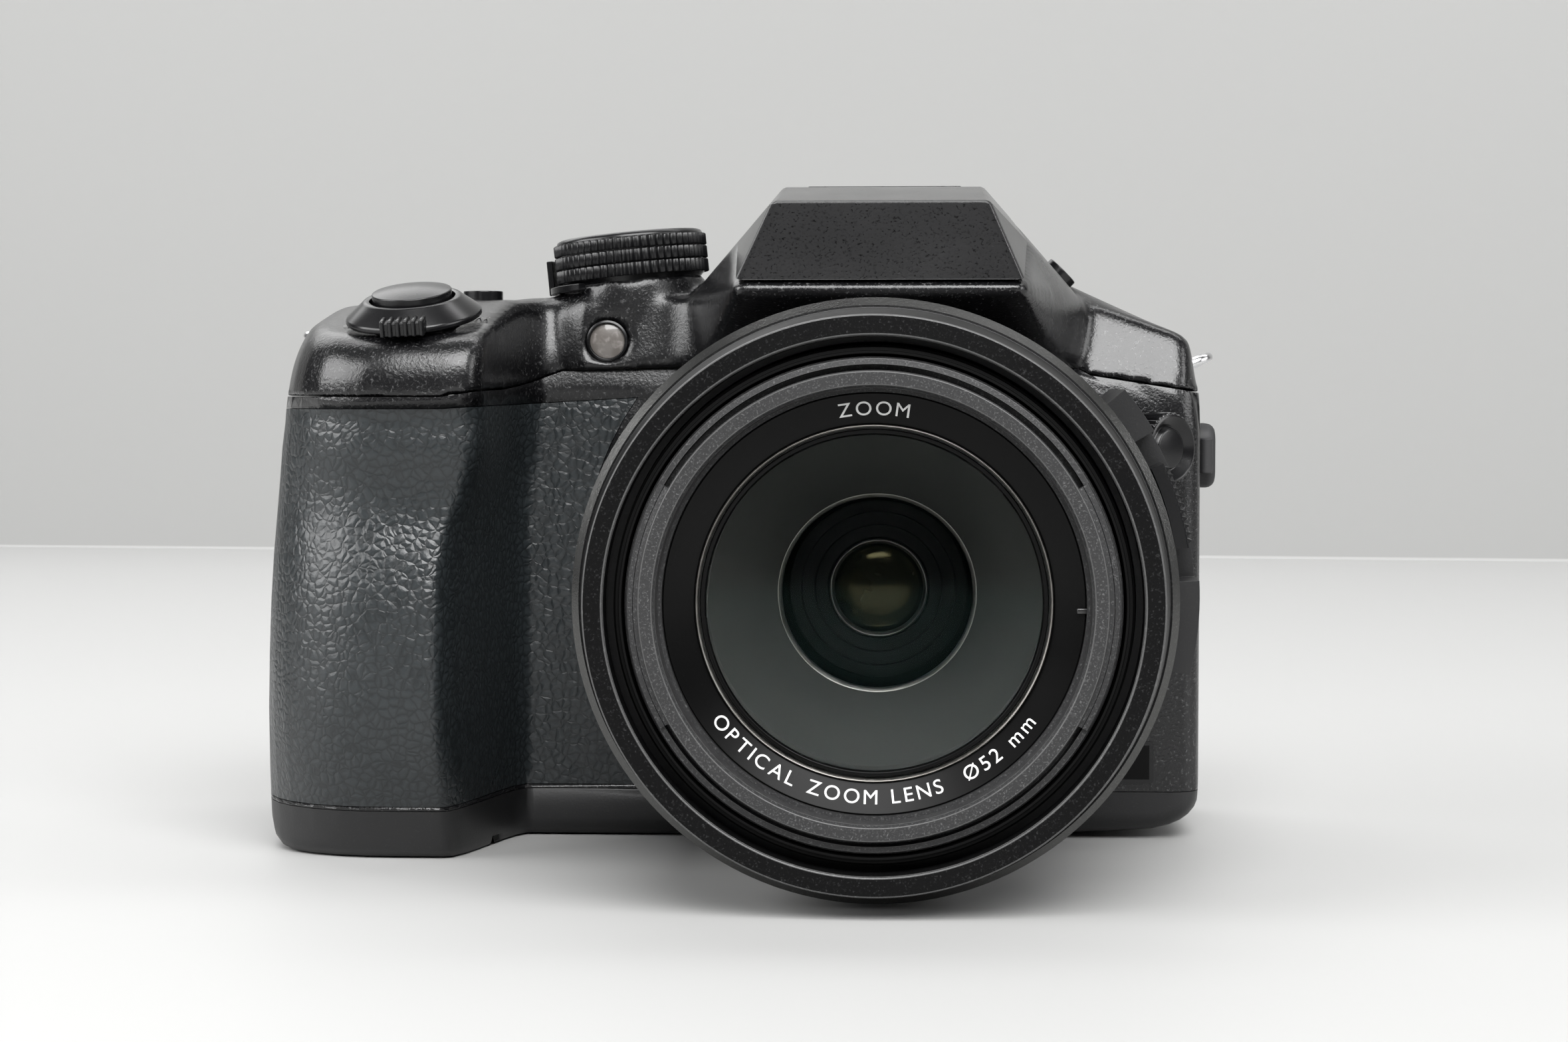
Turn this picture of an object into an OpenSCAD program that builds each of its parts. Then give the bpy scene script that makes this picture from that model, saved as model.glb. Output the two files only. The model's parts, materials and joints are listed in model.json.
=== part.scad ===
// Bridge camera with a long zoom lens: moulded covers, two-stage lens, sprung controls and a swinging screen.
// Millimetres. The front faces -Y, +X is the hinge side, +Z is up. The origin is the tripod socket's mouth.

/* [Body] */
// Grip side of the body, from the lens axis
grip_x = 85.4; // [82:0.2:90]
// Hinge side of the body, from the lens axis
side_x = 44.6; // [43:0.2:50]
// Front plate, ahead of the tripod axis
plate_y = 16; // [15:0.25:18]
// Rear face, behind the tripod axis
back_y = 22; // [21:0.25:25]
// Front of the grip, ahead of the tripod axis
grip_y = 45.5; // [43:0.25:49]
// Roof beside the mode dial
roof_z = 76.6; // [75:0.2:79]
// Seam under the top cover
seam_z = 62.6; // [61:0.2:64]
// Height of the base tray
base_h = 6.8; // [6:0.2:8]
// Wall of the moulded covers
wall = 2.8; // [2.4:0.1:3.2]
// Thickness of the grip rubber
rubber = 1.4; // [1:0.1:1.6]
// Bare margin of the cover between the lens barrel and the rubber
rubber_land = 6.4; // [4:0.2:7]

/* [Lens] */
// Radius of the flange round the front ring
flange_r = 37; // [34:0.1:40]
// Clearance of the flange over the table
flange_lift = 0.7; // [0.5:0.1:3]
// Front plane of the lens, ahead of the tripod axis
lens_y = 84; // [80:0.5:92]
// Step from the flange down to the fixed barrel
barrel_step = 0.9; // [0.6:0.1:1.4]
// Step from the fixed barrel down to the moving barrel
stage_step = 6.3; // [6:0.1:8]
// Rim of the moving barrel round the filter thread
filter_rim = 3.8; // [3.4:0.1:5]
// Depth of the filter thread
filter_l = 3.2; // [2.5:0.1:3.4]
// Travel of each of the two zoom stages
stage_travel = 24; // [12:1:28]

/* [Hump] */
// Rise of the viewfinder hump over the lens flange
hump_rise = 16.8; // [15:0.2:20]
// Lower front edge of the flash head
flash_y = 46; // [44:0.5:48]
// Half width of the flash head's lower edge
flash_w = 19.4; // [18:0.2:21]

/* [Controls] */
// Radius of the mode dial
dial_r = 11; // [9.5:0.1:11.2]
// Teeth round the mode dial
dial_teeth = 60; // [36:2:72]
// Radius of the zoom lever's ring
ring_r = 8.7; // [8:0.1:9.2]
// Radius of the shutter button
shutter_r = 5.4; // [4.6:0.1:5.5]
// Radius of the rear push buttons
button_r = 2.8; // [2.2:0.1:3.2]
// Radius of the cursor pad
pad_r = 11; // [9:0.25:11.5]

/* [Screen] */
// Width of the screen's frame
screen_w = 67.6; // [60:0.2:69]
// Height of the screen's frame
screen_h = 51; // [46:0.5:52]
// Thickness of the screen
screen_t = 7; // [6:0.1:7.4]

/* [Fits] */
// Gap round moving pieces
gap = 0.35; // [0.3:0.05:0.45]
// Gap at fixed seams
seam_gap = 0.1; // [0.05:0.05:0.2]
// Radius of the tripod thread's tap bore
tripod_r = 3.175; // [2.5:0.005:4.8]
// Depth of the tripod thread
tripod_l = 5.5; // [4.5:0.1:6]

/* [Hidden] */
$fn = 72;
eps = 0.01;
nose_x = -66;
flank_x = -58.8;
flank_w = 8.4;
shoulder_y = 22;
roof_slope = 13;
roof_break = 18;
fillet_t = 6.4;
fillet_r = 3.6;
tower_lean = 0.13;
cove_r = 8;
fillet_b = 2.6;
axis_z = flange_r + flange_lift;
barrel_r = flange_r - barrel_step;
moving_r = barrel_r - stage_step;
filter_r = moving_r - filter_rim;
seat_r = filter_r - 0.45;
glass_r = filter_r - 4.9;
pod_r = barrel_r + 4.1;
hump_z = axis_z + flange_r + hump_rise;
dial_p = [-36, -6, roof_z];
dial_lean = -5.6;
shutter_x = -63.2;
shutter_y = -34;
shutter_p = [shutter_x, shutter_y, roof_z - 0.5 - tan(roof_slope) * (-shutter_y - roof_break)];
shutter_tilt = [roof_slope + 2, -3, 0];
movie_p = [-57, -13];
burst_p = [-71, -8];
hinge_x = side_x - 5.1;
hinge_y = back_y - 3.1;
screen_x0 = hinge_x - 6.5 - screen_w;
screen_z0 = seam_z - 2.6 - screen_h;
screen_z = screen_z0 + screen_h / 2;
flash_slope = 0.34;
flash_hinge = [0, -20, hump_z - 2.3];
split_z = hump_z - 13.8;
pad_p = [screen_x0 - 22.4, back_y, 24];
switch_p = [screen_x0 - 10.4, back_y, 53.5];
play_p = [screen_x0 - 10.4, back_y, 40.5];
menu_p = [screen_x0 - 9.9, back_y, 12];
thumb_p = [screen_x0 - 34.9, back_y, 48];
sdial_a = 24.7;
sdial_p = [(barrel_r + 6.2) * cos(sdial_a), -plate_y - 7.5, axis_z + (barrel_r + 6.2) * sin(sdial_a)];
boss_r = 4.4;
tube_r = moving_r + gap + 1.05;
bore_r = tube_r + gap;
door_z = 0.5;
door_x = -55.5;

// Smooth step from 0 at a to 1 at b
function sm(a, b, t) = let (u = max(0, min(1, (t - a) / (b - a)))) u * u * (3 - 2 * u);

// Fall of a quarter ellipse of depth r as t runs from 0 to 1
function dip(t, r) = r * (1 - sqrt(1 - pow(max(0, min(1, t)), 2)));

// Reach of the grip's front at height z, with the finger groove and rib under the top cover
function swell(z) = grip_y
    * (0.845 + 0.155 * sm(0, 18, z) - 0.07 * sm(36, 49, z) + 0.05 * sm(49.5, 56.5, z)
    - 0.022 * sm(56.8, 59, z) + 0.04 * sm(59, seam_z - 1, z));

// Shift of the grip's inner ridge towards the lens, above the fingers
function ridge_shift(x, z) = 4.6 * sm(41, 57, z) * sm(nose_x, flank_x, x)
    * (1 - sm(flank_x, flank_x + flank_w, x));

// Front plate, leaning back above the seam, and more on the shoulder
function plate(x, z) = plate_y - (0.2 + 0.25 * sm(14, 30, x)) * max(0, z - seam_z);

// Front of the envelope at x and z, set in by d
function front_y(x, z, d) =
    let (k = sm(50, seam_z, z))
    let (v = pow(max(0, min(1, (x + d - flank_x + 3 * k) / (flank_w + 5.4 * k))), 1 + 0.5 * k))
    let (a = 1 - v * v * (3 - 2 * v))
    let (u = max(0, min(1, (nose_x - x) / (grip_x + nose_x))))
    let (nose = pow(max(0, 1 - pow(u, 2.2)), 1 / 2.2))
    d + dip((x - side_x + 4) / 4, 4) - (x < nose_x
        ? shoulder_y + (swell(z) - shoulder_y) * nose
        : plate(x, z) + (swell(z) - plate(x, z)) * a);

function rear_y(x, d) = back_y - d - dip((7 - x - grip_x) / 7, 7) - dip((x - side_x + 6) / 6, 6);

function floor_z(x, d) = d + dip((5 - x - grip_x) / 5, 4.5)
    + 0.04 * max(0, x - 8) + dip((x - side_x + 9) / 9, 4.2);

function roof(x, d) = roof_z - d - 0.04 * max(0, -50 - x) - dip((4 - x - grip_x) / 4, 3)
    + 2.9 * sm(-10, 24, x) - 0.463 * max(0, x - 24) - dip((x - side_x + 4.2) / 4.2, 9);

// Outline of the envelope across X, from the rear foot over the roof to the front foot
function section(x, d) =
    let (yb = rear_y(x, d), zb = floor_z(x, d), zt = roof(x, d))
    let (rt = fillet_r + (fillet_t - fillet_r) * sm(-47, -61, x), rr = fillet_r, rb = fillet_b)
    let (zf = zt - tan(roof_slope) * max(0, -front_y(x, 70, d) - rt - roof_break))
    let (yf = front_y(x, zf, d))
    let (yk = max(-roof_break, yf + rt + 1), ya = front_y(x, zb + rb, d))
    concat(
        [for (a = [0 : 30 : 90]) [yb - rb + rb * sin(a), zb + rb - rb * cos(a)]],
        [for (k = [0.25, 0.5, 0.7, 0.86]) [yb, zb + k * (zt - zb)]],
        [for (a = [0 : 30 : 90]) [yb - rr + rr * cos(a), zt - rr + rr * sin(a)]],
        [for (k = [0.35, 0.7, 1]) [yb - rr + k * (yk - yb + rr), zt]],
        [[(yk + yf + rt) / 2, (zt + zf) / 2]],
        [for (a = [0 : 18 : 90]) [yf + rt - rt * sin(a), zf - rt + rt * cos(a)]],
        [for (k = [0.955, 0.91, 0.875, 0.82, 0.75, 0.67, 0.58, 0.48, 0.36, 0.23, 0.1])
            let (z = zb + rb + k * (zf - rt - zb - rb)) [front_y(x, z, d), z]],
        [for (a = [90 : -30 : 0]) [ya + rb - rb * sin(a), zb + rb - rb * cos(a)]]);

stations = concat(
    [for (u = [0, 0.02, 0.07, 0.15, 0.27, 0.43, 0.61, 0.8]) -grip_x + u * (grip_x + nose_x)],
    [nose_x, -63.2],
    [for (x = [-61.6 : 1.2 : -47.1]) x],
    [-44, -36, -26, 0, 24, 32],
    [for (e = [6.6, 4.2, 2.7, 1.5, 0.6, 0.15, 0]) side_x - e]);

// Set-in x of a station, and the grip side's lean towards the top
function lean(z) = 2.8 * pow(max(0, z - 13) / 48, 2.2) + 0.016 * pow(max(0, z - seam_z), 2);
function warp(x, z, d) = x + d * max(0, (nose_x - x) / (grip_x + nose_x))
    - d * max(0, (x - 30) / (side_x - 30)) + lean(z) * max(0, (-55 - x) / (grip_x - 55)) + ridge_shift(x, z);

// Body envelope, lofted through the stations and set in by d
module envelope(d = 0) {
    rows = [for (x = stations) section(x, d)];
    n = len(rows[0]);
    m = len(rows);
    ring = [for (i = [0 : m - 1]) for (p = rows[i]) [warp(stations[i], p[1], d), p[0], p[1]]];
    mids = [for (i = [0, m - 1]) [warp(stations[i], 35, d), 0, 35]];
    sides = [for (i = [0 : m - 2]) for (j = [0 : n - 1]) let (k = (j + 1) % n)
        each [[i * n + j, (i + 1) * n + k, i * n + k], [i * n + j, (i + 1) * n + j, (i + 1) * n + k]]];
    caps = [for (j = [0 : n - 1]) let (k = (j + 1) % n)
        each [[m * n, j, k], [m * n + 1, (m - 1) * n + k, (m - 1) * n + j]]];
    polyhedron(points = concat(ring, mids), faces = concat(sides, caps));
}

// One merged skin for a sculpted moulding
module skin() {
    resize([0, 0, 0]) children();
}

// Lens frame: local z runs forward along the optical axis, local y is up
module optic() {
    translate([0, 0, axis_z]) rotate([90, 0, 0]) children();
}

// Prism across the body from an outline in X and Z
module across(points, y0, y1) {
    translate([0, y1, 0]) rotate([90, 0, 0]) linear_extrude(y1 - y0) polygon(points);
}

// Rear-facing frame: local z points out of the back, local y is up
module rear(p) {
    translate(p) rotate([-90, 0, 0]) rotate([0, 0, 180]) children();
}

module block(a, b) {
    translate(a) cube(b - a);
}

// Rounded rectangle as an outline
function rounded(w, h, r, s = 15) = [for (q = [[1, 1, 0], [-1, 1, 90], [-1, -1, 180], [1, -1, 270]])
    for (a = [0 : s : 90]) [q[0] * (w / 2 - r) + r * cos(q[2] + a), q[1] * (h / 2 - r) + r * sin(q[2] + a)]];

// Toothed outline with n flat teeth of depth t
function toothed(r, n, t) = [for (i = [0 : n - 1]) for (k = [0, 0.22, 0.5, 0.72])
    let (a = (i + k) * 360 / n, q = k > 0.1 && k < 0.6 ? r : r - t) [q * cos(a), q * sin(a)]];

module ring(r1, r0, h0, h1) {
    difference() {
        translate([0, 0, h0]) cylinder(r = r1, h = h1 - h0);
        translate([0, 0, h0 - 1]) cylinder(r = r0, h = h1 - h0 + 2);
    }
}

// Space of the top cover, raised by g
module upper_zone(g = 0) {
    s = seam_z + g;
    across([[-100, s], [-58, s], [-52, s + 0.9], [-48, s + 2.6], [-45.5, s + 3.5], [-28, s + 4], [27, s + 4],
        [29, s + 2.9], [60, s - 2], [60, 120], [-100, 120]], -80, 60);
}

// Space of the base tray
module lower_zone(g = 0) {
    block([-100, -80, -10], [100, 60, base_h + g]);
}

// Space of the grip rubber, shrunk by g
module rubber_zone(g = 0) {
    difference() {
        across([[-100, base_h + 0.6 + g], [-20 - g, base_h + 0.6 + g], [-20 - g, seam_z + 0.6 - g],
            [-50, seam_z - 1.1 - g], [-58, seam_z - 1.6 - g], [-100, seam_z - 1.7 - g]], -80, 2 - g);
        optic() cylinder(r = barrel_r + rubber_land + g, h = 120);
    }
}

module barrel_cut() {
    optic() translate([0, 0, plate_y - 4.1]) cylinder(r = barrel_r + seam_gap, h = 60, $fn = 120);
}

module hump_points(list) {
    hull() for (p = list) for (s = [-1, 1]) translate([s * p[0], p[1], p[2]]) sphere(r = 1.3, $fn = 16);
}

module hump() {
    hump_points([[flash_w - 1.2, -flash_y + 1.2, split_z - 1], [13.8, -37.4, hump_z - 4.1],
        [13.2, -21, hump_z - 1.3], [13.2, 6, hump_z - 1.3], [12.5, back_y - 1.6, hump_z - 5.1],
        [27, -13, roof_z - 1.6],
        [23, back_y - 1.6, roof_z - 2.6]]);
}

// Pad round the lamp, under the mode dial, leaning back, with a cove towards the hump
module tower() {
    x = -46;
    r = 4.4;
    y = -plate_y - 1.4;
    e = -24 - cove_r;
    translate([0, 0, seam_z]) multmatrix([[1, 0, 0, 0], [0, 1, tower_lean, 0], [0, 0, 1, 0]])
        linear_extrude(roof_z - seam_z - 0.4) polygon(concat(
            [for (a = [180 : 15 : 270]) [x + r + r * cos(a), y + r + r * sin(a)]],
            [for (a = [90 : -15 : 0]) [e + cove_r * cos(a), y - cove_r + cove_r * sin(a)]],
            [[-20, y - cove_r], [-20, -4], [x, -4]]));
}

module neck() {
    hump_points([[flash_w - 1.2, -flash_y + 1.2, split_z - 1], [24.6, -plate_y - 1, seam_z + 2.6],
        [27, -13, roof_z - 1.6], [27, -10, seam_z + 3]]);
}

// Space swept by the flash head: above the split, ahead of the hinge, widened by g
module flash_zone(g = 0) {
    y = flash_hinge[1] + g;
    translate([-40, 0, 0]) rotate([90, 0, 90]) linear_extrude(80)
        polygon([[-60, split_z - 14 * flash_slope - g],
            [y, split_z + (flash_y + flash_hinge[1]) * flash_slope - g], [y, 130], [-60, 130]]);
    translate(flash_hinge - [40, 0, 0]) rotate([0, 90, 0]) cylinder(r = 2.1 + 1.8 * g, h = 80, $fn = 48);
}

// Frame of the side dial, local z along its axle
module side_frame() {
    translate(sdial_p) rotate([90, 0, 45]) children();
}

module front_cover() {
    color([0.09, 0.09, 0.1]) skin() difference() {
        union() {
            intersection() {
                difference() {
                    envelope();
                    envelope(wall);
                }
                block([-100, -80, base_h + seam_gap], [100, 4, 90]);
            }
            side_frame() translate([0, 0, -11]) cylinder(r = boss_r, h = 11 - 2 - gap, $fn = 40);
        }
        upper_zone(-seam_gap);
        barrel_cut();
        difference() {
            rubber_zone();
            envelope(rubber + 0.05);
        }
        side_frame() translate([0, 0, -8]) cylinder(r = 1.5 + gap, h = 20, $fn = 32);
        block([side_x - 8, -10.05, 14.9], [side_x + 5, 1.05, 35.1]);
        translate([side_x - 8, -4, 54]) rotate([0, 90, 0]) cylinder(r = 3.3, h = 20, $fn = 40);
    }
}

module top_cover() {
    color([0.1, 0.1, 0.11]) skin() difference() {
        intersection() {
            union() {
                difference() {
                    envelope();
                    envelope(wall);
                }
                hump();
                neck();
                tower();
                dial_frame() translate([0, 0, -2.5]) cylinder(r = dial_r - 0.8, h = 5.1);
            }
            upper_zone();
        }
        flash_zone(0.4);
        barrel_cut();
        dial_frame() translate([0, 0, -6]) cylinder(r = 3 + gap, h = 12, $fn = 40);
        shutter_frame() translate([0, 0, -6]) cylinder(r = shutter_r + gap, h = 12, $fn = 48);
        for (p = [movie_p, burst_p])
            translate([p[0], p[1], roof_z - 6]) cylinder(r = button_r + gap, h = 12, $fn = 32);
        translate([-60, back_y - 6.8, 65.15]) cylinder(r = 8 + gap, h = 5.7, $fn = 64);
        block([-10.9, -12.1, hump_z - 3.6], [10.9, 8.1, hump_z + 5]);
        block([-8.5, 4, hump_z - 18], [8.5, 40, hump_z - 7]);
        translate([-39, 0, 70.3]) rotate([90, 0, 0]) cylinder(r = 2.9, h = 40, $fn = 40);
        rear([-21, back_y, 70.5]) translate([0, 0, -8]) cylinder(r = button_r + gap, h = 20, $fn = 32);
        rear([22.5, back_y, 71.5]) translate([0, 0, -8]) cylinder(r = 1.5 + gap, h = 20, $fn = 32);
        flash_button_frame() translate([0, 0, -6]) cylinder(r = 2.4 + gap, h = 20, $fn = 32);
        place_lugs() lug(seam_gap);
    }
}

// Recess of the screen, with clearance all round
module screen_space() {
    block([screen_x0 - 0.5, back_y - screen_t - 0.4, screen_z0 - 0.5],
        [hinge_x + 3.3 + gap, 60, screen_z0 + screen_h + 0.5]);
}

module rear_cover() {
    color([0.09, 0.09, 0.1]) skin() difference() {
        intersection() {
            union() {
                difference() {
                    envelope();
                    envelope(wall);
                }
                intersection() {
                    envelope();
                    block([screen_x0 - 2.4, back_y - 9, screen_z0 - 2], [side_x, 60, seam_z]);
                }
            }
            block([-100, 4 + seam_gap, base_h + seam_gap], [100, 60, 90]);
        }
        upper_zone(-seam_gap);
        difference() {
            screen_space();
            for (s = [-1, 1])
                translate([hinge_x, hinge_y, screen_z + s * 19.5]) cube([6.4, 9, 5], center = true);
        }
        block([hinge_x - 1, back_y - screen_t - 0.4, screen_z - 16.6], [side_x + 9, 60, screen_z + 16.6]);
        translate([hinge_x, hinge_y, screen_z - 24]) cylinder(r = 1.4 + gap, h = 48, $fn = 32);
        rear(pad_p) translate([0, 0, -8]) cylinder(r = pad_r + gap, h = 20, $fn = 64);
        rear(switch_p) translate([0, 0, -1.6]) cylinder(r = 6 + gap, h = 20, $fn = 48);
        rear(switch_p) translate([0, 0, -8]) cylinder(r = 3.4 + gap, h = 20, $fn = 40);
        for (p = [play_p, menu_p])
            rear(p) translate([0, 0, -8]) cylinder(r = button_r + gap, h = 20, $fn = 32);
        rear(thumb_p) translate([0, 0, -1]) linear_extrude(5) polygon(rounded(15.4, 20.4, 4.2));
    }
}

module base_plate() {
    color([0.07, 0.07, 0.075]) skin() difference() {
        union() {
            intersection() {
                difference() {
                    envelope();
                    envelope(wall);
                }
                lower_zone();
            }
            cylinder(r = 8, h = base_h - 0.4);
        }
        translate([0, 0, -1]) cylinder(r = 5.6 + seam_gap, h = 20, $fn = 96);
        barrel_cut();
        screen_space();
        block([-80.4, -25.4, -1], [door_x + 1 + gap, 9.4, 4]);
    }
}

module grip_rubber() {
    color([0.13, 0.135, 0.14]) skin() intersection() {
        difference() {
            envelope();
            envelope(rubber);
        }
        rubber_zone(seam_gap);
        block([-100, -80, 0], [100, 4, 90]);
    }
}

module thumb_rest() {
    color([0.13, 0.135, 0.14]) rear(thumb_p) translate([0, 0, -1]) {
        linear_extrude(1.5) polygon(rounded(15.2, 20.2, 4.1));
        for (i = [-2 : 2])
            translate([0, i * 3.2, 1.5 - eps]) linear_extrude(0.35) polygon(rounded(11, 1.2, 0.55, 30));
    }
}

module lens_barrel() {
    h0 = plate_y - 4;
    h1 = lens_y - 11.6;
    color([0.08, 0.08, 0.085]) optic() rotate_extrude($fn = 120) polygon([[22.3, h0], [barrel_r, h0],
        [barrel_r, h1 - 6], [flange_r - 0.3, h1 - 3.6], [flange_r - 0.3, h1], [flange_r - 2.8, h1],
        [flange_r - 2.8, h1 + 4], [bore_r, h1 + 4],
        [bore_r, h0 + 2.4], [22.3, h0 + 2.4]]);
}

module front_ring() {
    h0 = lens_y - 11.5;
    r = flange_r;
    color([0.06, 0.06, 0.065]) optic() rotate_extrude($fn = 120) polygon([[r - 2.7, h0], [r - 0.5, h0],
        [r, h0 + 0.5], [r, h0 + 2.4], [r - 0.9, h0 + 3.6], [r - 1.2, h0 + 6.2], [r - 1.9, h0 + 6.8],
        [r - 2.1, lens_y - 0.5], [r - 2.4, lens_y], [r - 4.4, lens_y], [r - 4.8, lens_y - 0.5],
        [r - 4.8, lens_y - 4], [r - 2.7, lens_y - 6.4]]);
}

// Wedge of directions about local z, from angle a0 to a1
module wedge(a0, a1, h0, h1) {
    m = (a0 + a1) / 2;
    translate([0, 0, h0]) linear_extrude(h1 - h0)
        polygon([[0, 0], for (a = [a0, m, a1]) 80 * [cos(a), sin(a)]]);
}

// Part of a ring about local z
module arc_ring(r1, r0, a0, a1, h0, h1) {
    intersection() {
        ring(r1, r0, h0, h1);
        wedge(a0, a1, h0 - 1, h1 + 1);
    }
}

module side_pod() {
    color([0.08, 0.08, 0.085]) optic() difference() {
        arc_ring(pod_r, barrel_r + 0.05, -14, 40, 31, 65);
        arc_ring(pod_r + 5, barrel_r + 1.2, 3, 31, 56.5, 70);
        rotate([0, 0, -6]) translate([barrel_r + 1.1, 0, 47]) rotate([0, 90, 0]) cylinder(r = 3 + gap, h = 9);
    }
}

module hot_shoe() {
    z = hump_z - 3.5;
    color([0.55, 0.55, 0.57]) difference() {
        block([-10.8, -12, z], [10.8, 8, hump_z + 0.7]);
        block([-9.35, -11, z + 1.2], [9.35, 20, z + 3.3]);
        block([-6.3, -11, z + 1.2], [6.3, 20, z + 9]);
    }
}

module eyecup() {
    color([0.1, 0.1, 0.1]) rear([0, back_y, hump_z - 12.9]) difference() {
        union() {
            linear_extrude(4.2) polygon(rounded(29, 19, 5, 30));
            flare(4, 11, [29, 19.4], [31.4, 21.6], 5);
        }
        translate([0, 0, -1]) linear_extrude(6) polygon(rounded(17, 12, 2.5, 30));
        flare(3.4, 11.6, [17, 12], [26, 17.4], 2.5);
    }
}

// Rounded opening or rim that widens from one size to another along local z
module flare(h0, h1, a, b, r) {
    hull() {
        translate([0, 0, h0]) linear_extrude(eps) polygon(rounded(a[0], a[1], r, 30));
        translate([0, 0, h1 - eps]) linear_extrude(eps) polygon(rounded(b[0], b[1], r, 30));
    }
}

module eyepiece_lens() {
    color([0.2, 0.25, 0.3]) rear([0, back_y - 3.2, hump_z - 12.7])
        linear_extrude(2.4) polygon(rounded(16.6, 10.6, 2.2));
}

module af_lamp() {
    color([0.6, 0.6, 0.58]) translate([-39, -plate_y + 2.8, 70.3]) rotate([90, 0, 0]) {
        cylinder(r = 2.8, h = 3.1);
        translate([0, 0, 3]) cylinder(r1 = 2.4, r2 = 1.7, h = 0.5);
    }
}

module tripod_bush() {
    color([0.6, 0.6, 0.6]) difference() {
        cylinder(r = 5.6, h = base_h);
        translate([0, 0, -eps]) cylinder(r = tripod_r, h = tripod_l + eps);
    }
}

// Strap loop with two legs, grown by g
module lug(g = 0) {
    r = 0.75 + g;
    rotate([0, 0, -90]) rotate_extrude(angle = 180) translate([2.6, 0]) circle(r = r, $fn = 24);
    for (s = [-1, 1]) translate([-3 - g, s * 2.6, 0]) rotate([0, 90, 0]) cylinder(r = r, h = 3 + g, $fn = 24);
}

module place_lugs() {
    translate([side_x - 0.6, -2, 67.1]) rotate([0, -22, 0]) children();
    translate([-grip_x + 3.5, -2, 70.4]) rotate([0, 20, 0]) mirror([1, 0, 0]) children();
}

module strap_lugs() {
    color([0.75, 0.75, 0.76]) place_lugs() lug();
}

module image_sensor() {
    color([0.15, 0.35, 0.2]) difference() {
        block([-14, 9, axis_z - 12], [14, 11.5, axis_z + 12]);
        block([-6.4, 8, axis_z - 4.9], [6.4, 9.8, axis_z + 4.9]);
    }
}

module rear_group() {
    color([0.05, 0.05, 0.05]) optic() {
        difference() {
            translate([0, 0, -9]) cylinder(r = 22, h = plate_y + 9);
            translate([0, 0, -10]) cylinder(r1 = 9, r2 = 9, h = 60);
        }
        intersection() {
            translate([0, 0, plate_y - 6]) cylinder(r = 9, h = 4);
            translate([0, 0, plate_y - 26]) sphere(r = 24);
        }
    }
}

module iris_unit() {
    color([0.12, 0.12, 0.12]) optic() difference() {
        translate([0, 0, plate_y]) cylinder(r = 24, h = 3);
        translate([0, 0, plate_y - 1]) cylinder(r = 5, h = 9, $fn = 9);
    }
}

module battery() {
    color([0.2, 0.2, 0.22]) block([-79.6, -24.4, 3], [-61, 8.4, 44]);
}

module memory_card() {
    color([0.15, 0.2, 0.3]) block([-60.4, -20, 3], [-58.3, 4, 35]);
}

module sockets() {
    color([0.25, 0.25, 0.26]) {
        difference() {
            block([34, -10.5, 14.4], [side_x - wall - 0.4, 1.5, 35.6]);
            block([37, -7.5, 17], [60, -1.5, 19.6]);
            block([37, -8.5, 22], [60, -0.5, 26]);
            block([37, -7.5, 29], [60, -1.5, 32.5]);
        }
        translate([side_x - 9, -4, 54]) rotate([0, 90, 0]) difference() {
            cylinder(r = 3.2, h = 8.6, $fn = 40);
            translate([0, 0, 1]) cylinder(r = 1.8, h = 9, $fn = 32);
        }
    }
}

module zoom_tube() {
    color([0.08, 0.08, 0.08]) optic() ring(tube_r, moving_r + gap, plate_y + 4.2, lens_y - 1.6);
}

module front_barrel() {
    r = moving_r;
    h = lens_y - 0.6 - filter_l;
    color([0.14, 0.14, 0.145]) optic() difference() {
        rotate_extrude($fn = 120) polygon([[r - 1.6, plate_y + 6], [r, plate_y + 6], [r, lens_y - 2.2],
            [r - 0.5, lens_y - 1.6], [r - 0.5, lens_y - 0.4], [r - 0.9, lens_y], [filter_r + 0.6, lens_y],
            [filter_r, lens_y - 0.6], [filter_r, h], [seat_r, h], [seat_r, lens_y - 7.6],
            [r - 1.6, lens_y - 7.6]]);
        for (s = [0, 180]) rotate([0, 0, s]) arc_ring(r + 2, r - 1, -24, 24, lens_y - 5, lens_y - 2.8);
    }
}

module name_ring() {
    r = glass_r + 0.1;
    h = lens_y - 7.6;
    color([0.03, 0.03, 0.03]) optic() rotate_extrude($fn = 120)
        polygon([[r, h], [seat_r - 0.05, h], [seat_r - 0.05, h + 2.7], [r + 0.4, h + 1.4], [r, h + 1]]);
}

module front_lens() {
    color([0.5, 0.62, 0.6]) optic() intersection() {
        translate([0, 0, lens_y - 12]) cylinder(r = glass_r, h = 12);
        translate([0, 0, lens_y - 4 - 62]) sphere(r = 62, $fn = 120);
    }
}

module lens_cell() {
    h = lens_y - 12.1;
    g = glass_r;
    r = moving_r - 1.65;
    color([0.04, 0.04, 0.04]) optic() rotate_extrude($fn = 120) polygon([[g - 0.7, h], [g - 8.9, h - 14],
        [g - 8.9, h - 15.5], [g - 7.5, h - 15.5], [g + 0.9, h - 1.6], [r, h - 1.6], [r, h + 4.4],
        [g + 0.1, h + 4.4], [g + 0.1, h]]);
}

module variator() {
    h = plate_y + 24;
    color([0.06, 0.06, 0.06]) optic() {
        difference() {
            translate([0, 0, h]) cylinder(r = moving_r - 1.6 - gap, h = 3);
            translate([0, 0, h - 1]) cylinder(r = 11, h = 9);
        }
        difference() {
            translate([0, 0, h]) cylinder(r = 11.4, h = 10);
            translate([0, 0, h - 1]) cylinder(r = 6, h = 20);
        }
        intersection() {
            translate([0, 0, h + 4]) cylinder(r = 6.05, h = 5);
            translate([0, 0, h - 7.5]) sphere(r = 16);
        }
    }
}

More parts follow.
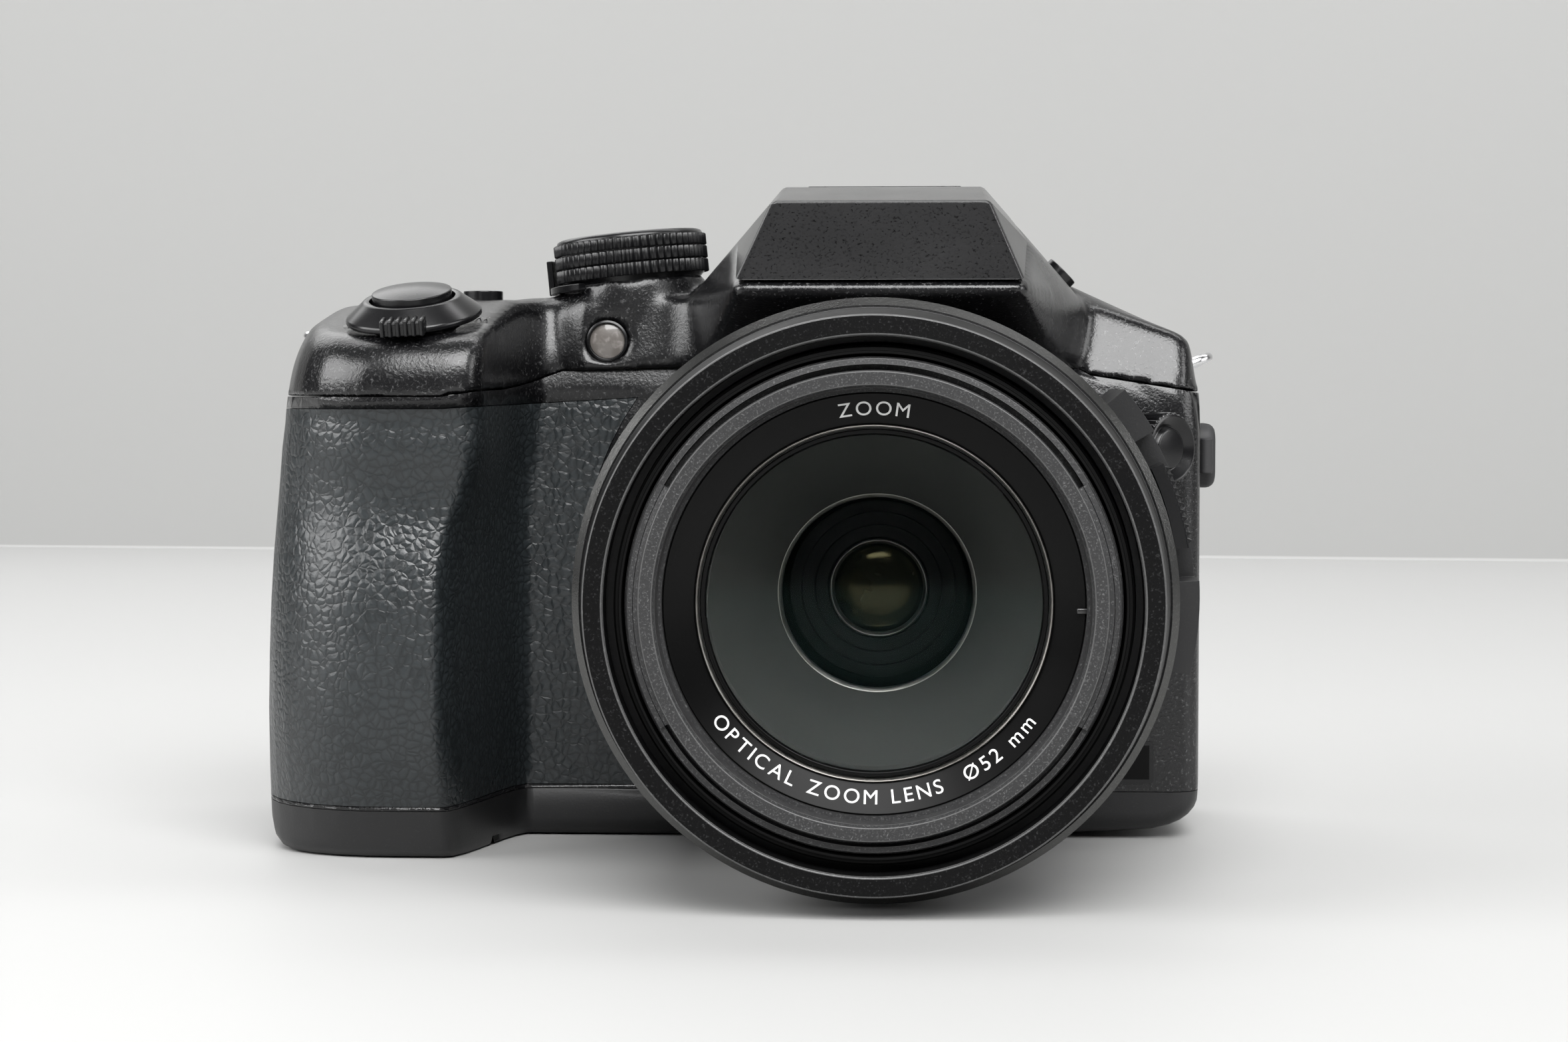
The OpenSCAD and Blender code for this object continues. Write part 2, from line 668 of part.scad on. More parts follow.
module dial_frame() {
    translate(dial_p) rotate([0, dial_lean, 0]) children();
}

module mode_dial() {
    color([0.07, 0.07, 0.07]) dial_frame() {
        for (i = [0 : 2])
            translate([0, 0, 2.9 + 2 * i]) linear_extrude(1.6) polygon(toothed(dial_r, dial_teeth, 0.4));
        translate([0, 0, 2.9]) cylinder(r = dial_r - 0.7, h = 5.6);
        translate([0, 0, -5]) cylinder(r = 3, h = 8.4);
    }
}

module dial_cap() {
    color([0.12, 0.12, 0.12]) dial_frame()
        translate([0, 0, 8.5]) cylinder(r1 = dial_r - 0.4, r2 = dial_r - 1, h = 0.6);
}

module power_lever() {
    color([0.1, 0.1, 0.1]) dial_frame() {
        arc_ring(dial_r + 1, dial_r - 0.4, 105, 235, 1.5, 2.5);
        rotate([0, 0, 170]) translate([dial_r + 0.3, -2, 1.5]) cube([0.9, 4, 5]);
    }
}

module shutter_frame() {
    translate(shutter_p) rotate(shutter_tilt) children();
}

module zoom_lever() {
    color([0.09, 0.09, 0.09]) shutter_frame() difference() {
        union() {
            translate([0, 0, 0.7]) cylinder(r = ring_r + 0.5, h = 0.8);
            translate([0, 0, 1.5 - eps]) cylinder(r1 = ring_r + 0.5, r2 = shutter_r + 1.3, h = 2.2);
            translate([0, -ring_r, 2.3]) cube([5.8, 4, 3.2], center = true);
            for (i = [-2 : 2])
                translate([i * 1.2, -ring_r - 2, 0.7]) cylinder(r = 0.4, h = 3.2, $fn = 16);
        }
        translate([0, 0, -1]) cylinder(r = shutter_r + gap, h = 9);
    }
}

module shutter_button() {
    color([0.08, 0.08, 0.08]) shutter_frame() intersection() {
        translate([0, 0, -3]) cylinder(r = shutter_r, h = 10);
        translate([0, 0, 5.2 - 22]) sphere(r = 22);
    }
}

module top_button(p) {
    translate([p[0], p[1], roof(p[0], 0) - 4]) cylinder(r = button_r, h = 5.1);
}

module movie_button() {
    color([0.3, 0.06, 0.06]) top_button(movie_p);
}

module burst_button() {
    color([0.1, 0.1, 0.1]) top_button(burst_p);
}

module rear_dial() {
    color([0.07, 0.07, 0.07]) translate([-60, back_y - 6.8, 65.5]) {
        linear_extrude(5) polygon(toothed(8, 36, 0.45));
        translate([0, 0, -0.2]) cylinder(r = 2, h = 5.4, $fn = 32);
    }
}

module side_lever() {
    color([0.09, 0.09, 0.09]) optic() {
        arc_ring(pod_r - 0.9, barrel_r + 1.2 + gap, 9, 25, 57, 64.6);
        for (i = [0 : 9])
            rotate([0, 0, 10.4 + i * 1.47]) translate([pod_r - 1.2, -0.22, 57.4]) cube([0.9, 0.44, 6.8]);
    }
}

module side_dial() {
    color([0.08, 0.08, 0.08]) side_frame() {
        translate([0, 0, -2]) linear_extrude(4) polygon(toothed(5, 36, 0.35));
        translate([0, 0, -7]) cylinder(r = 1.5, h = 5.2, $fn = 32);
    }
}

module side_button() {
    color([0.1, 0.1, 0.1]) optic() rotate([0, 0, -6])
        translate([barrel_r + 2.1, 0, 47]) rotate([0, 90, 0]) cylinder(r = 3, h = 2.6);
}

module flash_head() {
    color([0.1, 0.1, 0.11]) difference() {
        intersection() {
            hump();
            flash_zone();
        }
        flash_slot(24, 12, 2.3, -5);
    }
}

// Window space under the flash head
module flash_slot(w, l, t, drop) {
    translate([0, -34.6, split_z + (flash_y - 34.6) * flash_slope]) rotate([atan(flash_slope), 0, 0])
        translate([-w / 2, -l / 2, drop]) cube([w, l, t - drop]);
}

module flash_window() {
    color([0.8, 0.8, 0.78]) flash_slot(23.8, 11.8, 2.25, 0.3);
}

// Frame of the flash button on the hump's flank, local z out of the flank
module flash_button_frame() {
    translate([25.2, -9, hump_z - 11.3]) rotate([0, 45, 0]) children();
}

module flash_button() {
    color([0.1, 0.1, 0.1]) flash_button_frame() translate([0, 0, -4.6]) cylinder(r = 2.4, h = 4.8);
}

module screen_arm() {
    color([0.08, 0.08, 0.08]) {
        translate([hinge_x, hinge_y, screen_z - 16.2]) cylinder(r = 3.2, h = 32.4);
        translate([hinge_x, hinge_y, screen_z - 21]) cylinder(r = 1.4, h = 42, $fn = 32);
        block([hinge_x - 6.3, hinge_y - 2.6, screen_z - 14], [hinge_x, hinge_y + 2.6, screen_z + 14]);
    }
}

module screen_frame() {
    p = [screen_x0 + screen_w / 2, back_y - screen_t + 0.5, screen_z];
    color([0.07, 0.07, 0.075]) rear(p) difference() {
        linear_extrude(screen_t) polygon(rounded(screen_w, screen_h, 2.5));
        translate([0, 0, screen_t - 1]) linear_extrude(5) polygon(rounded(screen_w - 4, screen_h - 4, 1.2));
    }
}

module lcd_glass() {
    color([0.03, 0.03, 0.04]) rear([screen_x0 + screen_w / 2, back_y - 0.5, screen_z])
        linear_extrude(0.85) polygon(rounded(screen_w - 4.1, screen_h - 4.1, 1.15));
}

module battery_door() {
    x0 = -80;
    color([0.08, 0.08, 0.085]) difference() {
        union() {
            block([x0, -25, door_z], [door_x, 9, door_z + 2]);
            translate([door_x, -25, door_z + 1]) rotate([-90, 0, 0]) cylinder(r = 1, h = 34, $fn = 32);
        }
        block([x0 + 2.5, -13, door_z - 1], [x0 + 9.5, -3, door_z + 1.2]);
    }
}

module door_latch() {
    x0 = -80;
    color([0.12, 0.12, 0.12]) block([x0 + 4.5, -12.6, door_z + 0.1], [x0 + 9.1, -3.4, door_z + 1.15]);
}

module terminal_door() {
    color([0.09, 0.09, 0.1]) {
        block([side_x - 2.2, -8.6, 15.2], [side_x, 0.7, 34.8]);
        translate([side_x - 1.1, -8.6, 15.2]) cylinder(r = 1.1, h = 19.6, $fn = 32);
    }
}

module mic_cover() {
    color([0.12, 0.12, 0.125]) {
        translate([side_x + 0.1, -3.6, 54]) rotate([90, 0, 90])
            linear_extrude(2.5) polygon(rounded(9.4, 9.2, 2.6));
        translate([side_x + 1.1, -8.7, 51.5]) cylinder(r = 0.95, h = 5, $fn = 32);
        block([side_x + 0.15, -8.7, 51.5], [side_x + 2.05, -8, 56.5]);
    }
}

module focus_switch() {
    color([0.1, 0.1, 0.1]) rear(switch_p) {
        ring(6, 3.4 + gap, -1.2, 1);
        translate([0, 6.6, 0.95]) cube([2.6, 3, 1.2], center = true);
    }
}

module push(p, r, h) {
    rear(p) translate([0, 0, -3]) cylinder(r = r, h = h + 3);
}

module lock_button() {
    color([0.1, 0.1, 0.1]) push(switch_p, 3.4, 1.6);
}

module finder_button() {
    color([0.1, 0.1, 0.1]) push([-21, back_y, 70.5], button_r, 0.9);
}

module play_button() {
    color([0.1, 0.1, 0.1]) push(play_p, button_r, 0.9);
}

module menu_button() {
    color([0.1, 0.1, 0.1]) push(menu_p, button_r, 0.9);
}

// One key of the cursor pad, turned to its place
module key(a) {
    rear(pad_p) rotate([0, 0, a]) difference() {
        translate([0, 0, -2.6]) rotate([0, 0, -43])
            rotate_extrude(angle = 86) translate([5.6, 0]) square([pad_r - 5.6, 3.4]);
        translate([pad_r - 2, 0, 0.5]) cylinder(r = 0.7, h = 2, $fn = 3);
    }
}

module key_up() {
    color([0.1, 0.1, 0.1]) key(90);
}

module key_down() {
    color([0.1, 0.1, 0.1]) key(270);
}

module key_left() {
    color([0.1, 0.1, 0.1]) key(180);
}

module key_right() {
    color([0.1, 0.1, 0.1]) key(0);
}

module set_button() {
    color([0.1, 0.1, 0.1]) push(pad_p, 5.2, 1.1);
}

module dioptre_dial() {
    color([0.08, 0.08, 0.08]) rear([22.5, back_y, 71.5]) {
        translate([0, 0, 0.3]) linear_extrude(2.6) polygon(toothed(4.4, 28, 0.3));
        translate([0, 0, -4]) cylinder(r = 1.5, h = 4.5, $fn = 32);
    }
}

front_cover();
top_cover();
rear_cover();
base_plate();
grip_rubber();
thumb_rest();
lens_barrel();
front_ring();
side_pod();
hot_shoe();
eyecup();
eyepiece_lens();
af_lamp();
tripod_bush();
strap_lugs();
image_sensor();
rear_group();
iris_unit();
battery();
memory_card();
sockets();
zoom_tube();
front_barrel();
name_ring();
front_lens();
lens_cell();
variator();
mode_dial();
dial_cap();
power_lever();
zoom_lever();
shutter_button();
movie_button();
burst_button();
rear_dial();
side_lever();
side_dial();
side_button();
flash_head();
flash_window();
flash_button();
screen_arm();
screen_frame();
lcd_glass();
battery_door();
door_latch();
terminal_door();
mic_cover();
focus_switch();
lock_button();
finder_button();
play_button();
menu_button();
key_up();
key_down();
key_left();
key_right();
set_button();
dioptre_dial();
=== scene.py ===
import json
import math
import bmesh
import bpy
from mathutils import Matrix, Vector
from mathutils.bvhtree import BVHTree


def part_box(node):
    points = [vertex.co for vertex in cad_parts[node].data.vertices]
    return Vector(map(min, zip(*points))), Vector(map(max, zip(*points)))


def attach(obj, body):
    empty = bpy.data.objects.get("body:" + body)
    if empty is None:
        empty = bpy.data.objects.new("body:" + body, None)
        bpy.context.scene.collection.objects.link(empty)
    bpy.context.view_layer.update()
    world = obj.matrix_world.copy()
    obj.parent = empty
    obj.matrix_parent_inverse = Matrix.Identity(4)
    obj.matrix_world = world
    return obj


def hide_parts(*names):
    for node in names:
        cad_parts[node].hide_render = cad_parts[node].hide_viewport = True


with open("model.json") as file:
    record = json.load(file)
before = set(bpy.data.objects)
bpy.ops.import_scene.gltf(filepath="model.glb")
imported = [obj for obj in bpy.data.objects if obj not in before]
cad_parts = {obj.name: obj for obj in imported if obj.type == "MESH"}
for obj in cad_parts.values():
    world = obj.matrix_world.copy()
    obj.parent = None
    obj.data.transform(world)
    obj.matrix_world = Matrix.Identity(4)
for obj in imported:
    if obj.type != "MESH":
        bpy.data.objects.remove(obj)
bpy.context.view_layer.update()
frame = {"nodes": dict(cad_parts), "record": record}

mm = 0.001
axisZ = 37.7          # height of the lens axis
weld = 0.000002       # distance within which the points of a turned shape are one
markLift = 0.02       # how far a printed mark stands off its surface
markAngle = 60
print("frame loaded:", len(frame["nodes"]), "nodes")


# node groups shared by the finishes

def newGroup(name, inputs, outputs):
    group = bpy.data.node_groups.new(name, "ShaderNodeTree")
    for label, kind, value in inputs:
        sock = group.interface.new_socket(name=label, in_out="INPUT", socket_type=kind)
        if value is not None:
            sock.default_value = value
    for label, kind in outputs:
        group.interface.new_socket(name=label, in_out="OUTPUT", socket_type=kind)
    ins = group.nodes.new("NodeGroupInput")
    outs = group.nodes.new("NodeGroupOutput")
    return group, ins, outs


def addNode(tree, kind, values=None, **props):
    node = tree.nodes.new(kind)
    for key, value in props.items():
        setattr(node, key, value)
    for key, value in (values or {}).items():
        node.inputs[key].default_value = value
    return node


def wire(tree, *pairs):
    for a, b in pairs:
        tree.links.new(a, b)


def rampNode(tree, stops):
    ramp = tree.nodes.new("ShaderNodeValToRGB")
    bar = ramp.color_ramp
    bar.elements[0].position, bar.elements[1].position = stops[0][0], stops[-1][0]
    bar.elements[0].color = (*[stops[0][1]] * 3, 1)
    bar.elements[1].color = (*[stops[-1][1]] * 3, 1)
    for place, grey in stops[1:-1]:
        bar.elements.new(place).color = (grey, grey, grey, 1)
    return ramp


def makeFleckGroup():
    # sprayed crinkle paint: raised mottling, fine grain and slow clouding
    group, ins, outs = newGroup("fleckPaint",
        [("Vector", "NodeSocketVector", None), ("Scale", "NodeSocketFloat", 2400.0),
         ("Flecks", "NodeSocketFloat", 0.5)],
        [("Fleck", "NodeSocketFloat"), ("Grain", "NodeSocketFloat"), ("Cloud", "NodeSocketFloat")])
    grain = addNode(group, "ShaderNodeTexNoise", {"Detail": 2.5, "Roughness": 0.55, "Distortion": 0.4})
    level = addNode(group, "ShaderNodeMapRange", {"From Max": 0.72}, clamp=True)
    floorLevel = addNode(group, "ShaderNodeMath", {1: -0.3, 2: 0.66}, operation="MULTIPLY_ADD")
    crest = addNode(group, "ShaderNodeMath", {1: 1.6}, operation="POWER")
    cloud = addNode(group, "ShaderNodeTexNoise", {"Scale": 45.0, "Detail": 4.0})
    wire(group,
        (ins.outputs["Vector"], grain.inputs["Vector"]), (ins.outputs["Scale"], grain.inputs["Scale"]),
        (ins.outputs["Vector"], cloud.inputs["Vector"]),
        (ins.outputs["Flecks"], floorLevel.inputs[0]), (floorLevel.outputs[0], level.inputs["From Min"]),
        (grain.outputs["Fac"], level.inputs[0]), (level.outputs[0], crest.inputs[0]),
        (crest.outputs[0], outs.inputs["Fleck"]), (grain.outputs["Fac"], outs.inputs["Grain"]),
        (cloud.outputs["Fac"], outs.inputs["Cloud"]))
    return group


def makePebbleGroup():
    # moulded leather pattern of the grip rubber: domed cells and pores for the bump, and a mask that darkens the
    # colour in the creases between the cells as painted shade
    group, ins, outs = newGroup("pebbleRubber",
        [("Vector", "NodeSocketVector", None), ("Scale", "NodeSocketFloat", 560.0)],
        [("Height", "NodeSocketFloat"), ("Crease", "NodeSocketFloat"), ("Cloud", "NodeSocketFloat")])
    drift = addNode(group, "ShaderNodeTexNoise", {"Scale": 420.0, "Detail": 2.0})
    shift = addNode(group, "ShaderNodeVectorMath", {1: (0.0013, 0.0013, 0.0013)}, operation="MULTIPLY_ADD")
    edge = addNode(group, "ShaderNodeTexVoronoi", feature="DISTANCE_TO_EDGE")
    # darkest right at the cell edges: painted shade in the creases
    creaseShade = rampNode(group, [(0.0, 0.7), (0.2, 0.0)])
    dome = rampNode(group, [(0.0, 0.0), (0.16, 0.42), (0.34, 0.8), (0.6, 1.0)])
    pores = addNode(group, "ShaderNodeTexNoise", {"Scale": 3000.0, "Detail": 3.0})
    mixin = addNode(group, "ShaderNodeMath", {1: 0.22}, operation="MULTIPLY_ADD")
    cloud = addNode(group, "ShaderNodeTexNoise", {"Scale": 60.0, "Detail": 3.0})
    wire(group,
        (ins.outputs["Vector"], drift.inputs["Vector"]),
        (drift.outputs["Color"], shift.inputs[0]), (ins.outputs["Vector"], shift.inputs[2]),
        (shift.outputs[0], edge.inputs["Vector"]), (ins.outputs["Scale"], edge.inputs["Scale"]),
        (edge.outputs["Distance"], creaseShade.inputs[0]), (edge.outputs["Distance"], dome.inputs[0]),
        (ins.outputs["Vector"], pores.inputs["Vector"]), (ins.outputs["Vector"], cloud.inputs["Vector"]),
        (pores.outputs["Fac"], mixin.inputs[0]), (dome.outputs[0], mixin.inputs[2]),
        (mixin.outputs[0], outs.inputs["Height"]), (creaseShade.outputs[0], outs.inputs["Crease"]),
        (cloud.outputs["Fac"], outs.inputs["Cloud"]))
    return group


fleckGroup = makeFleckGroup()
pebbleGroup = makePebbleGroup()


def startMaterial(name, **sockets):
    mat = bpy.data.materials.new(name)
    mat.use_nodes = True
    tree = mat.node_tree
    shader = tree.nodes["Principled BSDF"]
    for key, value in sockets.items():
        shader.inputs[key.replace("_", " ")].default_value = value
    coord = tree.nodes.new("ShaderNodeTexCoord")
    return mat, tree, shader, coord.outputs["Object"]


def blendColour(tree, shader, mask, low, high):
    mix = addNode(tree, "ShaderNodeMix", data_type="RGBA")
    mix.inputs[6].default_value = (*low, 1)
    mix.inputs[7].default_value = (*high, 1)
    wire(tree, (mask, mix.inputs[0]), (mix.outputs[2], shader.inputs["Base Color"]))


def spread(tree, value, low, high, target):
    span = addNode(tree, "ShaderNodeMapRange", {"To Min": low, "To Max": high, "From Min": 0.3, "From Max": 0.7})
    wire(tree, (value, span.inputs[0]), (span.outputs[0], target))


def bumpTo(tree, shader, height, strength, distance):
    bump = addNode(tree, "ShaderNodeBump", {"Strength": strength, "Distance": distance})
    wire(tree, (height, bump.inputs["Height"]), (bump.outputs[0], shader.inputs["Normal"]))


def paintFinish(name, low, high, rough, scale, flecks, grain, depth=0.00006, **sockets):
    # textured paint or moulded plastic; flecks sets how many specks of the high colour it has
    mat, tree, shader, place = startMaterial(name, **sockets)
    fleck = addNode(tree, "ShaderNodeGroup", node_tree=fleckGroup)
    fleck.inputs["Scale"].default_value = scale
    fleck.inputs["Flecks"].default_value = flecks
    wire(tree, (place, fleck.inputs["Vector"]))
    blendColour(tree, shader, fleck.outputs["Fleck"], low, high)
    spread(tree, fleck.outputs["Cloud"], rough - 0.05, rough + 0.06, shader.inputs["Roughness"])
    bumpTo(tree, shader, fleck.outputs["Grain"], grain, depth)
    return mat


def rubberFinish(name, low, high, rough, scale, grain, depth):
    mat, tree, shader, place = startMaterial(name)
    pebble = addNode(tree, "ShaderNodeGroup", node_tree=pebbleGroup)
    pebble.inputs["Scale"].default_value = scale
    wire(tree, (place, pebble.inputs["Vector"]))
    # the creases between the cells take the low colour: painted shade
    blendColour(tree, shader, pebble.outputs["Crease"], high, low)
    spread(tree, pebble.outputs["Cloud"], rough - 0.06, rough + 0.06, shader.inputs["Roughness"])
    bumpTo(tree, shader, pebble.outputs["Height"], grain, depth)
    return mat


def metalFinish(name, low, high, rough):
    mat, tree, shader, place = startMaterial(name, Metallic=1.0)
    scratch = addNode(tree, "ShaderNodeTexNoise", {"Scale": 900.0, "Detail": 4.0})
    wire(tree, (place, scratch.inputs["Vector"]))
    blendColour(tree, shader, scratch.outputs["Fac"], low, high)
    spread(tree, scratch.outputs["Fac"], rough - 0.06, rough + 0.08, shader.inputs["Roughness"])
    return mat


def glassFinish(name, tint, rough, ior, **sockets):
    mat, tree, shader, place = startMaterial(name, Transmission_Weight=1.0, IOR=ior, **sockets)
    haze = addNode(tree, "ShaderNodeTexNoise", {"Scale": 40.0, "Detail": 5.0})
    wire(tree, (place, haze.inputs["Vector"]))
    blendColour(tree, shader, haze.outputs["Fac"], tint, [min(1, c * 1.03) for c in tint])
    spread(tree, haze.outputs["Fac"], rough, rough + 0.02, shader.inputs["Roughness"])
    return mat


finishes = {
    "paint": paintFinish("bodyPaint", (0.003, 0.003, 0.0034), (0.060, 0.060, 0.061), 0.25, 2450, 0.36, 0.5, 0.0001),
    "flashPaint": paintFinish("flashPaint", (0.0135, 0.0135, 0.0138), (0.0012, 0.0012, 0.0012), 0.17, 2500, 0.55, 0.25,
        Specular_IOR_Level=0.22),
    "satin": paintFinish("satinMoulding", (0.006, 0.006, 0.0065), (0.014, 0.014, 0.0145), 0.42, 3200, 0.3, 0.3,
        0.00005),
    # the rubber's low colour is the painted shade in the creases between its cells
    "rubber": rubberFinish("gripRubber", (0.0045, 0.0055, 0.006), (0.0155, 0.0187, 0.0202), 0.33, 820.0, 0.7, 0.00013),
    "softRubber": paintFinish("softRubber", (0.012, 0.012, 0.013), (0.022, 0.022, 0.023), 0.6, 3800, 0.3, 0.25),
    "barrel": paintFinish("barrelSand", (0.016, 0.016, 0.0165), (0.085, 0.085, 0.086), 0.5, 4200, 0.5, 0.5,
        Specular_IOR_Level=0.35),
    "ringSand": paintFinish("ringSand", (0.0022, 0.0022, 0.0023), (0.020, 0.020, 0.0205), 0.42, 3400, 0.35, 0.4,
        Specular_IOR_Level=0.1),
    # painted highlight for the thin rounded edges of the turned rings
    "edge": paintFinish("wornEdge", (0.045, 0.045, 0.045), (0.075, 0.075, 0.074), 0.4, 1800, 0.5, 0.1),
    "gloss": paintFinish("glossBlack", (0.0022, 0.0022, 0.0022), (0.0035, 0.0035, 0.0035), 0.28, 5200, 0.2, 0.04,
        Specular_IOR_Level=0.12),
    "inner": paintFinish("lensBlack", (0.0245, 0.0247, 0.0230), (0.0285, 0.0288, 0.0270), 0.6, 3600, 0.3, 0.05),
    "deep": paintFinish("deepBlack", (0.0015, 0.0015, 0.0015), (0.0025, 0.0025, 0.0025), 0.6, 3600, 0.3, 0.0,
        Specular_IOR_Level=0.1),
    "control": paintFinish("controlPlastic", (0.0032, 0.0032, 0.0036), (0.0075, 0.0075, 0.008), 0.24, 4200, 0.2, 0.15,
        0.00003, Specular_IOR_Level=0.4),
    "ink": paintFinish("whiteInk", (0.70, 0.70, 0.69), (0.80, 0.80, 0.79), 0.5, 4200, 0.2, 0.1),
    "board": paintFinish("circuitBoard", (0.02, 0.09, 0.04), (0.05, 0.16, 0.08), 0.4, 1400, 0.3, 0.3),
    "battery": paintFinish("cellWrap", (0.03, 0.03, 0.034), (0.05, 0.05, 0.055), 0.5, 2600, 0.2, 0.2),
    "display": paintFinish("screenGlass", (0.004, 0.004, 0.005), (0.006, 0.006, 0.008), 0.06, 1500, 0.05, 0.0),
    "panel": paintFinish("screenPanel", (0.008, 0.009, 0.011), (0.011, 0.012, 0.015), 0.09, 1500, 0.05, 0.0),
    "lamp": paintFinish("lampLens", (0.10, 0.09, 0.082), (0.19, 0.175, 0.165), 0.3, 900, 0.5, 0.1, Coat_Weight=0.6),
    "pupil": paintFinish("pupilCoat", (0.004, 0.005, 0.004), (0.010, 0.009, 0.005), 0.1, 160, 0.5, 0.0,
        Specular_IOR_Level=0.22, Specular_Tint=(1.0, 0.85, 0.45, 1.0)),
    "metal": metalFinish("brightSteel", (0.56, 0.56, 0.57), (0.72, 0.72, 0.72), 0.24),
    "bush": metalFinish("tripodBush", (0.40, 0.40, 0.40), (0.55, 0.54, 0.52), 0.34),
    "contact": metalFinish("contactGold", (0.60, 0.42, 0.16), (0.78, 0.58, 0.26), 0.28),
    "chamfer": paintFinish("chamferMetal", (0.095, 0.095, 0.093), (0.14, 0.14, 0.136), 0.27, 3400, 0.4, 0.3,
        Metallic=1.0),
    "shoe": metalFinish("blackSteel", (0.05, 0.05, 0.05), (0.10, 0.10, 0.10), 0.3),
    "rim": metalFinish("darkRim", (0.20, 0.19, 0.175), (0.27, 0.26, 0.245), 0.34),
    "glass": glassFinish("coatedGlass", (0.95, 0.985, 0.97), 0.0, 1.11, Specular_Tint=(0.55, 1.0, 0.95, 1.0)),
    "clear": glassFinish("clearWindow", (0.92, 0.92, 0.90), 0.12, 1.45),
}
print("finishes made:", len(finishes))


# mesh helpers

def shadeByAngle(mesh, degrees):
    mesh.polygons.foreach_set("use_smooth", [True] * len(mesh.polygons))
    mesh.set_sharp_from_angle(angle=math.radians(degrees))


def onlyVerts(geom):
    return [g for g in geom if isinstance(g, bmesh.types.BMVert)]


def turnBy(degrees, axis):
    return Matrix.Rotation(math.radians(degrees), 3, axis)


def finishPiece(name, bm, finish, body, nodes=(), bevel=0.0, angle=35):
    mesh = bpy.data.meshes.new(name)
    bm.to_mesh(mesh)
    bm.free()
    shadeByAngle(mesh, angle)
    piece = bpy.data.objects.new(name, mesh)
    bpy.context.scene.collection.objects.link(piece)
    for part in ([finish] if isinstance(finish, str) else finish):
        mesh.materials.append(finishes[part])
    if bevel:
        edge = piece.modifiers.new("edge", "BEVEL")
        edge.width, edge.segments, edge.profile = bevel * mm, 2, 0.5
        edge.limit_method, edge.angle_limit = "ANGLE", math.radians(angle)
        edge.harden_normals = True
    even = piece.modifiers.new("even", "WEIGHTED_NORMAL")
    even.keep_sharp = True
    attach(piece, body)
    if nodes:
        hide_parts(*nodes)
    return piece


def nodeCopy(node, flat):
    # welded copy of a CAD node, with flat fans joined into whole faces
    bm = bmesh.new()
    bm.from_mesh(frame["nodes"][node].data)
    bmesh.ops.remove_doubles(bm, verts=bm.verts, dist=0.00001)
    if flat:
        bmesh.ops.dissolve_limit(bm, angle_limit=math.radians(flat), verts=bm.verts, edges=bm.edges,
            use_dissolve_boundaries=False, delimit=set())
    return bm


def nodeTree(node):
    # search tree over a CAD node's surface
    bm = nodeCopy(node, 0)
    tree = BVHTree.FromBMesh(bm)
    bm.free()
    return tree


def easeVerts(bm, verts, turns):
    for turn in range(turns):
        bmesh.ops.smooth_vert(bm, verts=verts, factor=0.5, use_axis_x=True, use_axis_y=True, use_axis_z=True)


def remesh(bm, voxel, first, passes, reach, seams, soft):
    # even skin of small faces over a faceted moulding, eased everywhere but within reach of its seams
    mesh = bpy.data.meshes.new("blank")
    bm.to_mesh(mesh)
    bm.free()
    blank = bpy.data.objects.new("blank", mesh)
    bpy.context.scene.collection.objects.link(blank)
    even = blank.modifiers.new("even", "REMESH")
    even.mode, even.voxel_size = "VOXEL", voxel * mm
    even.adaptivity = 0.0
    result = blank.evaluated_get(bpy.context.evaluated_depsgraph_get()).to_mesh()
    out = bmesh.new()
    out.from_mesh(result)
    blank.to_mesh_clear()
    bpy.data.objects.remove(blank)
    bpy.data.meshes.remove(mesh)
    loose = list(out.verts)
    easeVerts(out, loose, first)
    for node in seams:
        near = nodeTree(node)
        loose = [v for v in loose if near.find_nearest(v.co, reach * mm)[0] is None]
    easeVerts(out, loose, passes)
    for low, high, turns in soft:
        easeVerts(out, [v for v in loose if all(a * mm < c < b * mm for a, c, b in zip(low, v.co, high))], turns)
    return out


nodeInfo = {node: body for body, bodyNodes in frame["record"]["behaviour"]["bodies"].items() for node in bodyNodes}


def dress(node, finish, bevel=0.15, angle=35, flat=0.4):
    name = node.replace("_", "-") + "-skin"
    finishPiece(name, nodeCopy(node, flat), finish, nodeInfo[node], [node], bevel, angle)


def filletProfile(points, steps=4):
    # outline points (r, h, fillet radius) to a rounded outline
    out = []
    count = len(points)
    for i, (r, h, cut) in enumerate(points):
        here = Vector((r, h))
        if not cut:
            out.append(here)
            continue
        back = (Vector(points[i - 1][:2]) - here)
        ahead = (Vector(points[(i + 1) % count][:2]) - here)
        reach = min(cut, back.length * 0.48, ahead.length * 0.48)
        a, b = here + back.normalized() * reach, here + ahead.normalized() * reach
        for k in range(steps + 1):
            t = k / steps
            out.append(a * (1 - t) ** 2 + here * 2 * t * (1 - t) + b * t * t)
    return out


def spinLoop(spots, centre, axis, steps):
    # closed outline spun a full turn, welded on the axis
    bm = bmesh.new()
    verts = [bm.verts.new(spot) for spot in spots]
    edges = [bm.edges.new(pair) for pair in zip(verts, verts[1:] + verts[:1])]
    bmesh.ops.spin(bm, geom=verts + edges, cent=centre, axis=axis, angle=math.tau, steps=steps, use_merge=True)
    bmesh.ops.remove_doubles(bm, verts=bm.verts, dist=weld)
    bmesh.ops.delete(bm, geom=[e for e in bm.edges if not e.link_faces], context="EDGES")
    bmesh.ops.recalc_face_normals(bm, faces=bm.faces)
    return bm


def latheOptic(points, steps=180, centre=(0.0, axisZ)):
    # spin an outline of (radius, distance forward) about a line that runs front to back
    spots = [((centre[0] + p[0]) * mm, -p[1] * mm, centre[1] * mm) for p in points]
    return spinLoop(spots, (centre[0] * mm, 0, centre[1] * mm), (0, 1, 0), steps)


def edgeFaces(bm, narrow=0.06):
    # the thin rounded edges of a turned ring take a lighter colour: a painted edge highlight
    for face in bm.faces:
        if min(e.calc_length() for e in face.edges) < narrow * mm:
            face.material_index = 1
    return bm


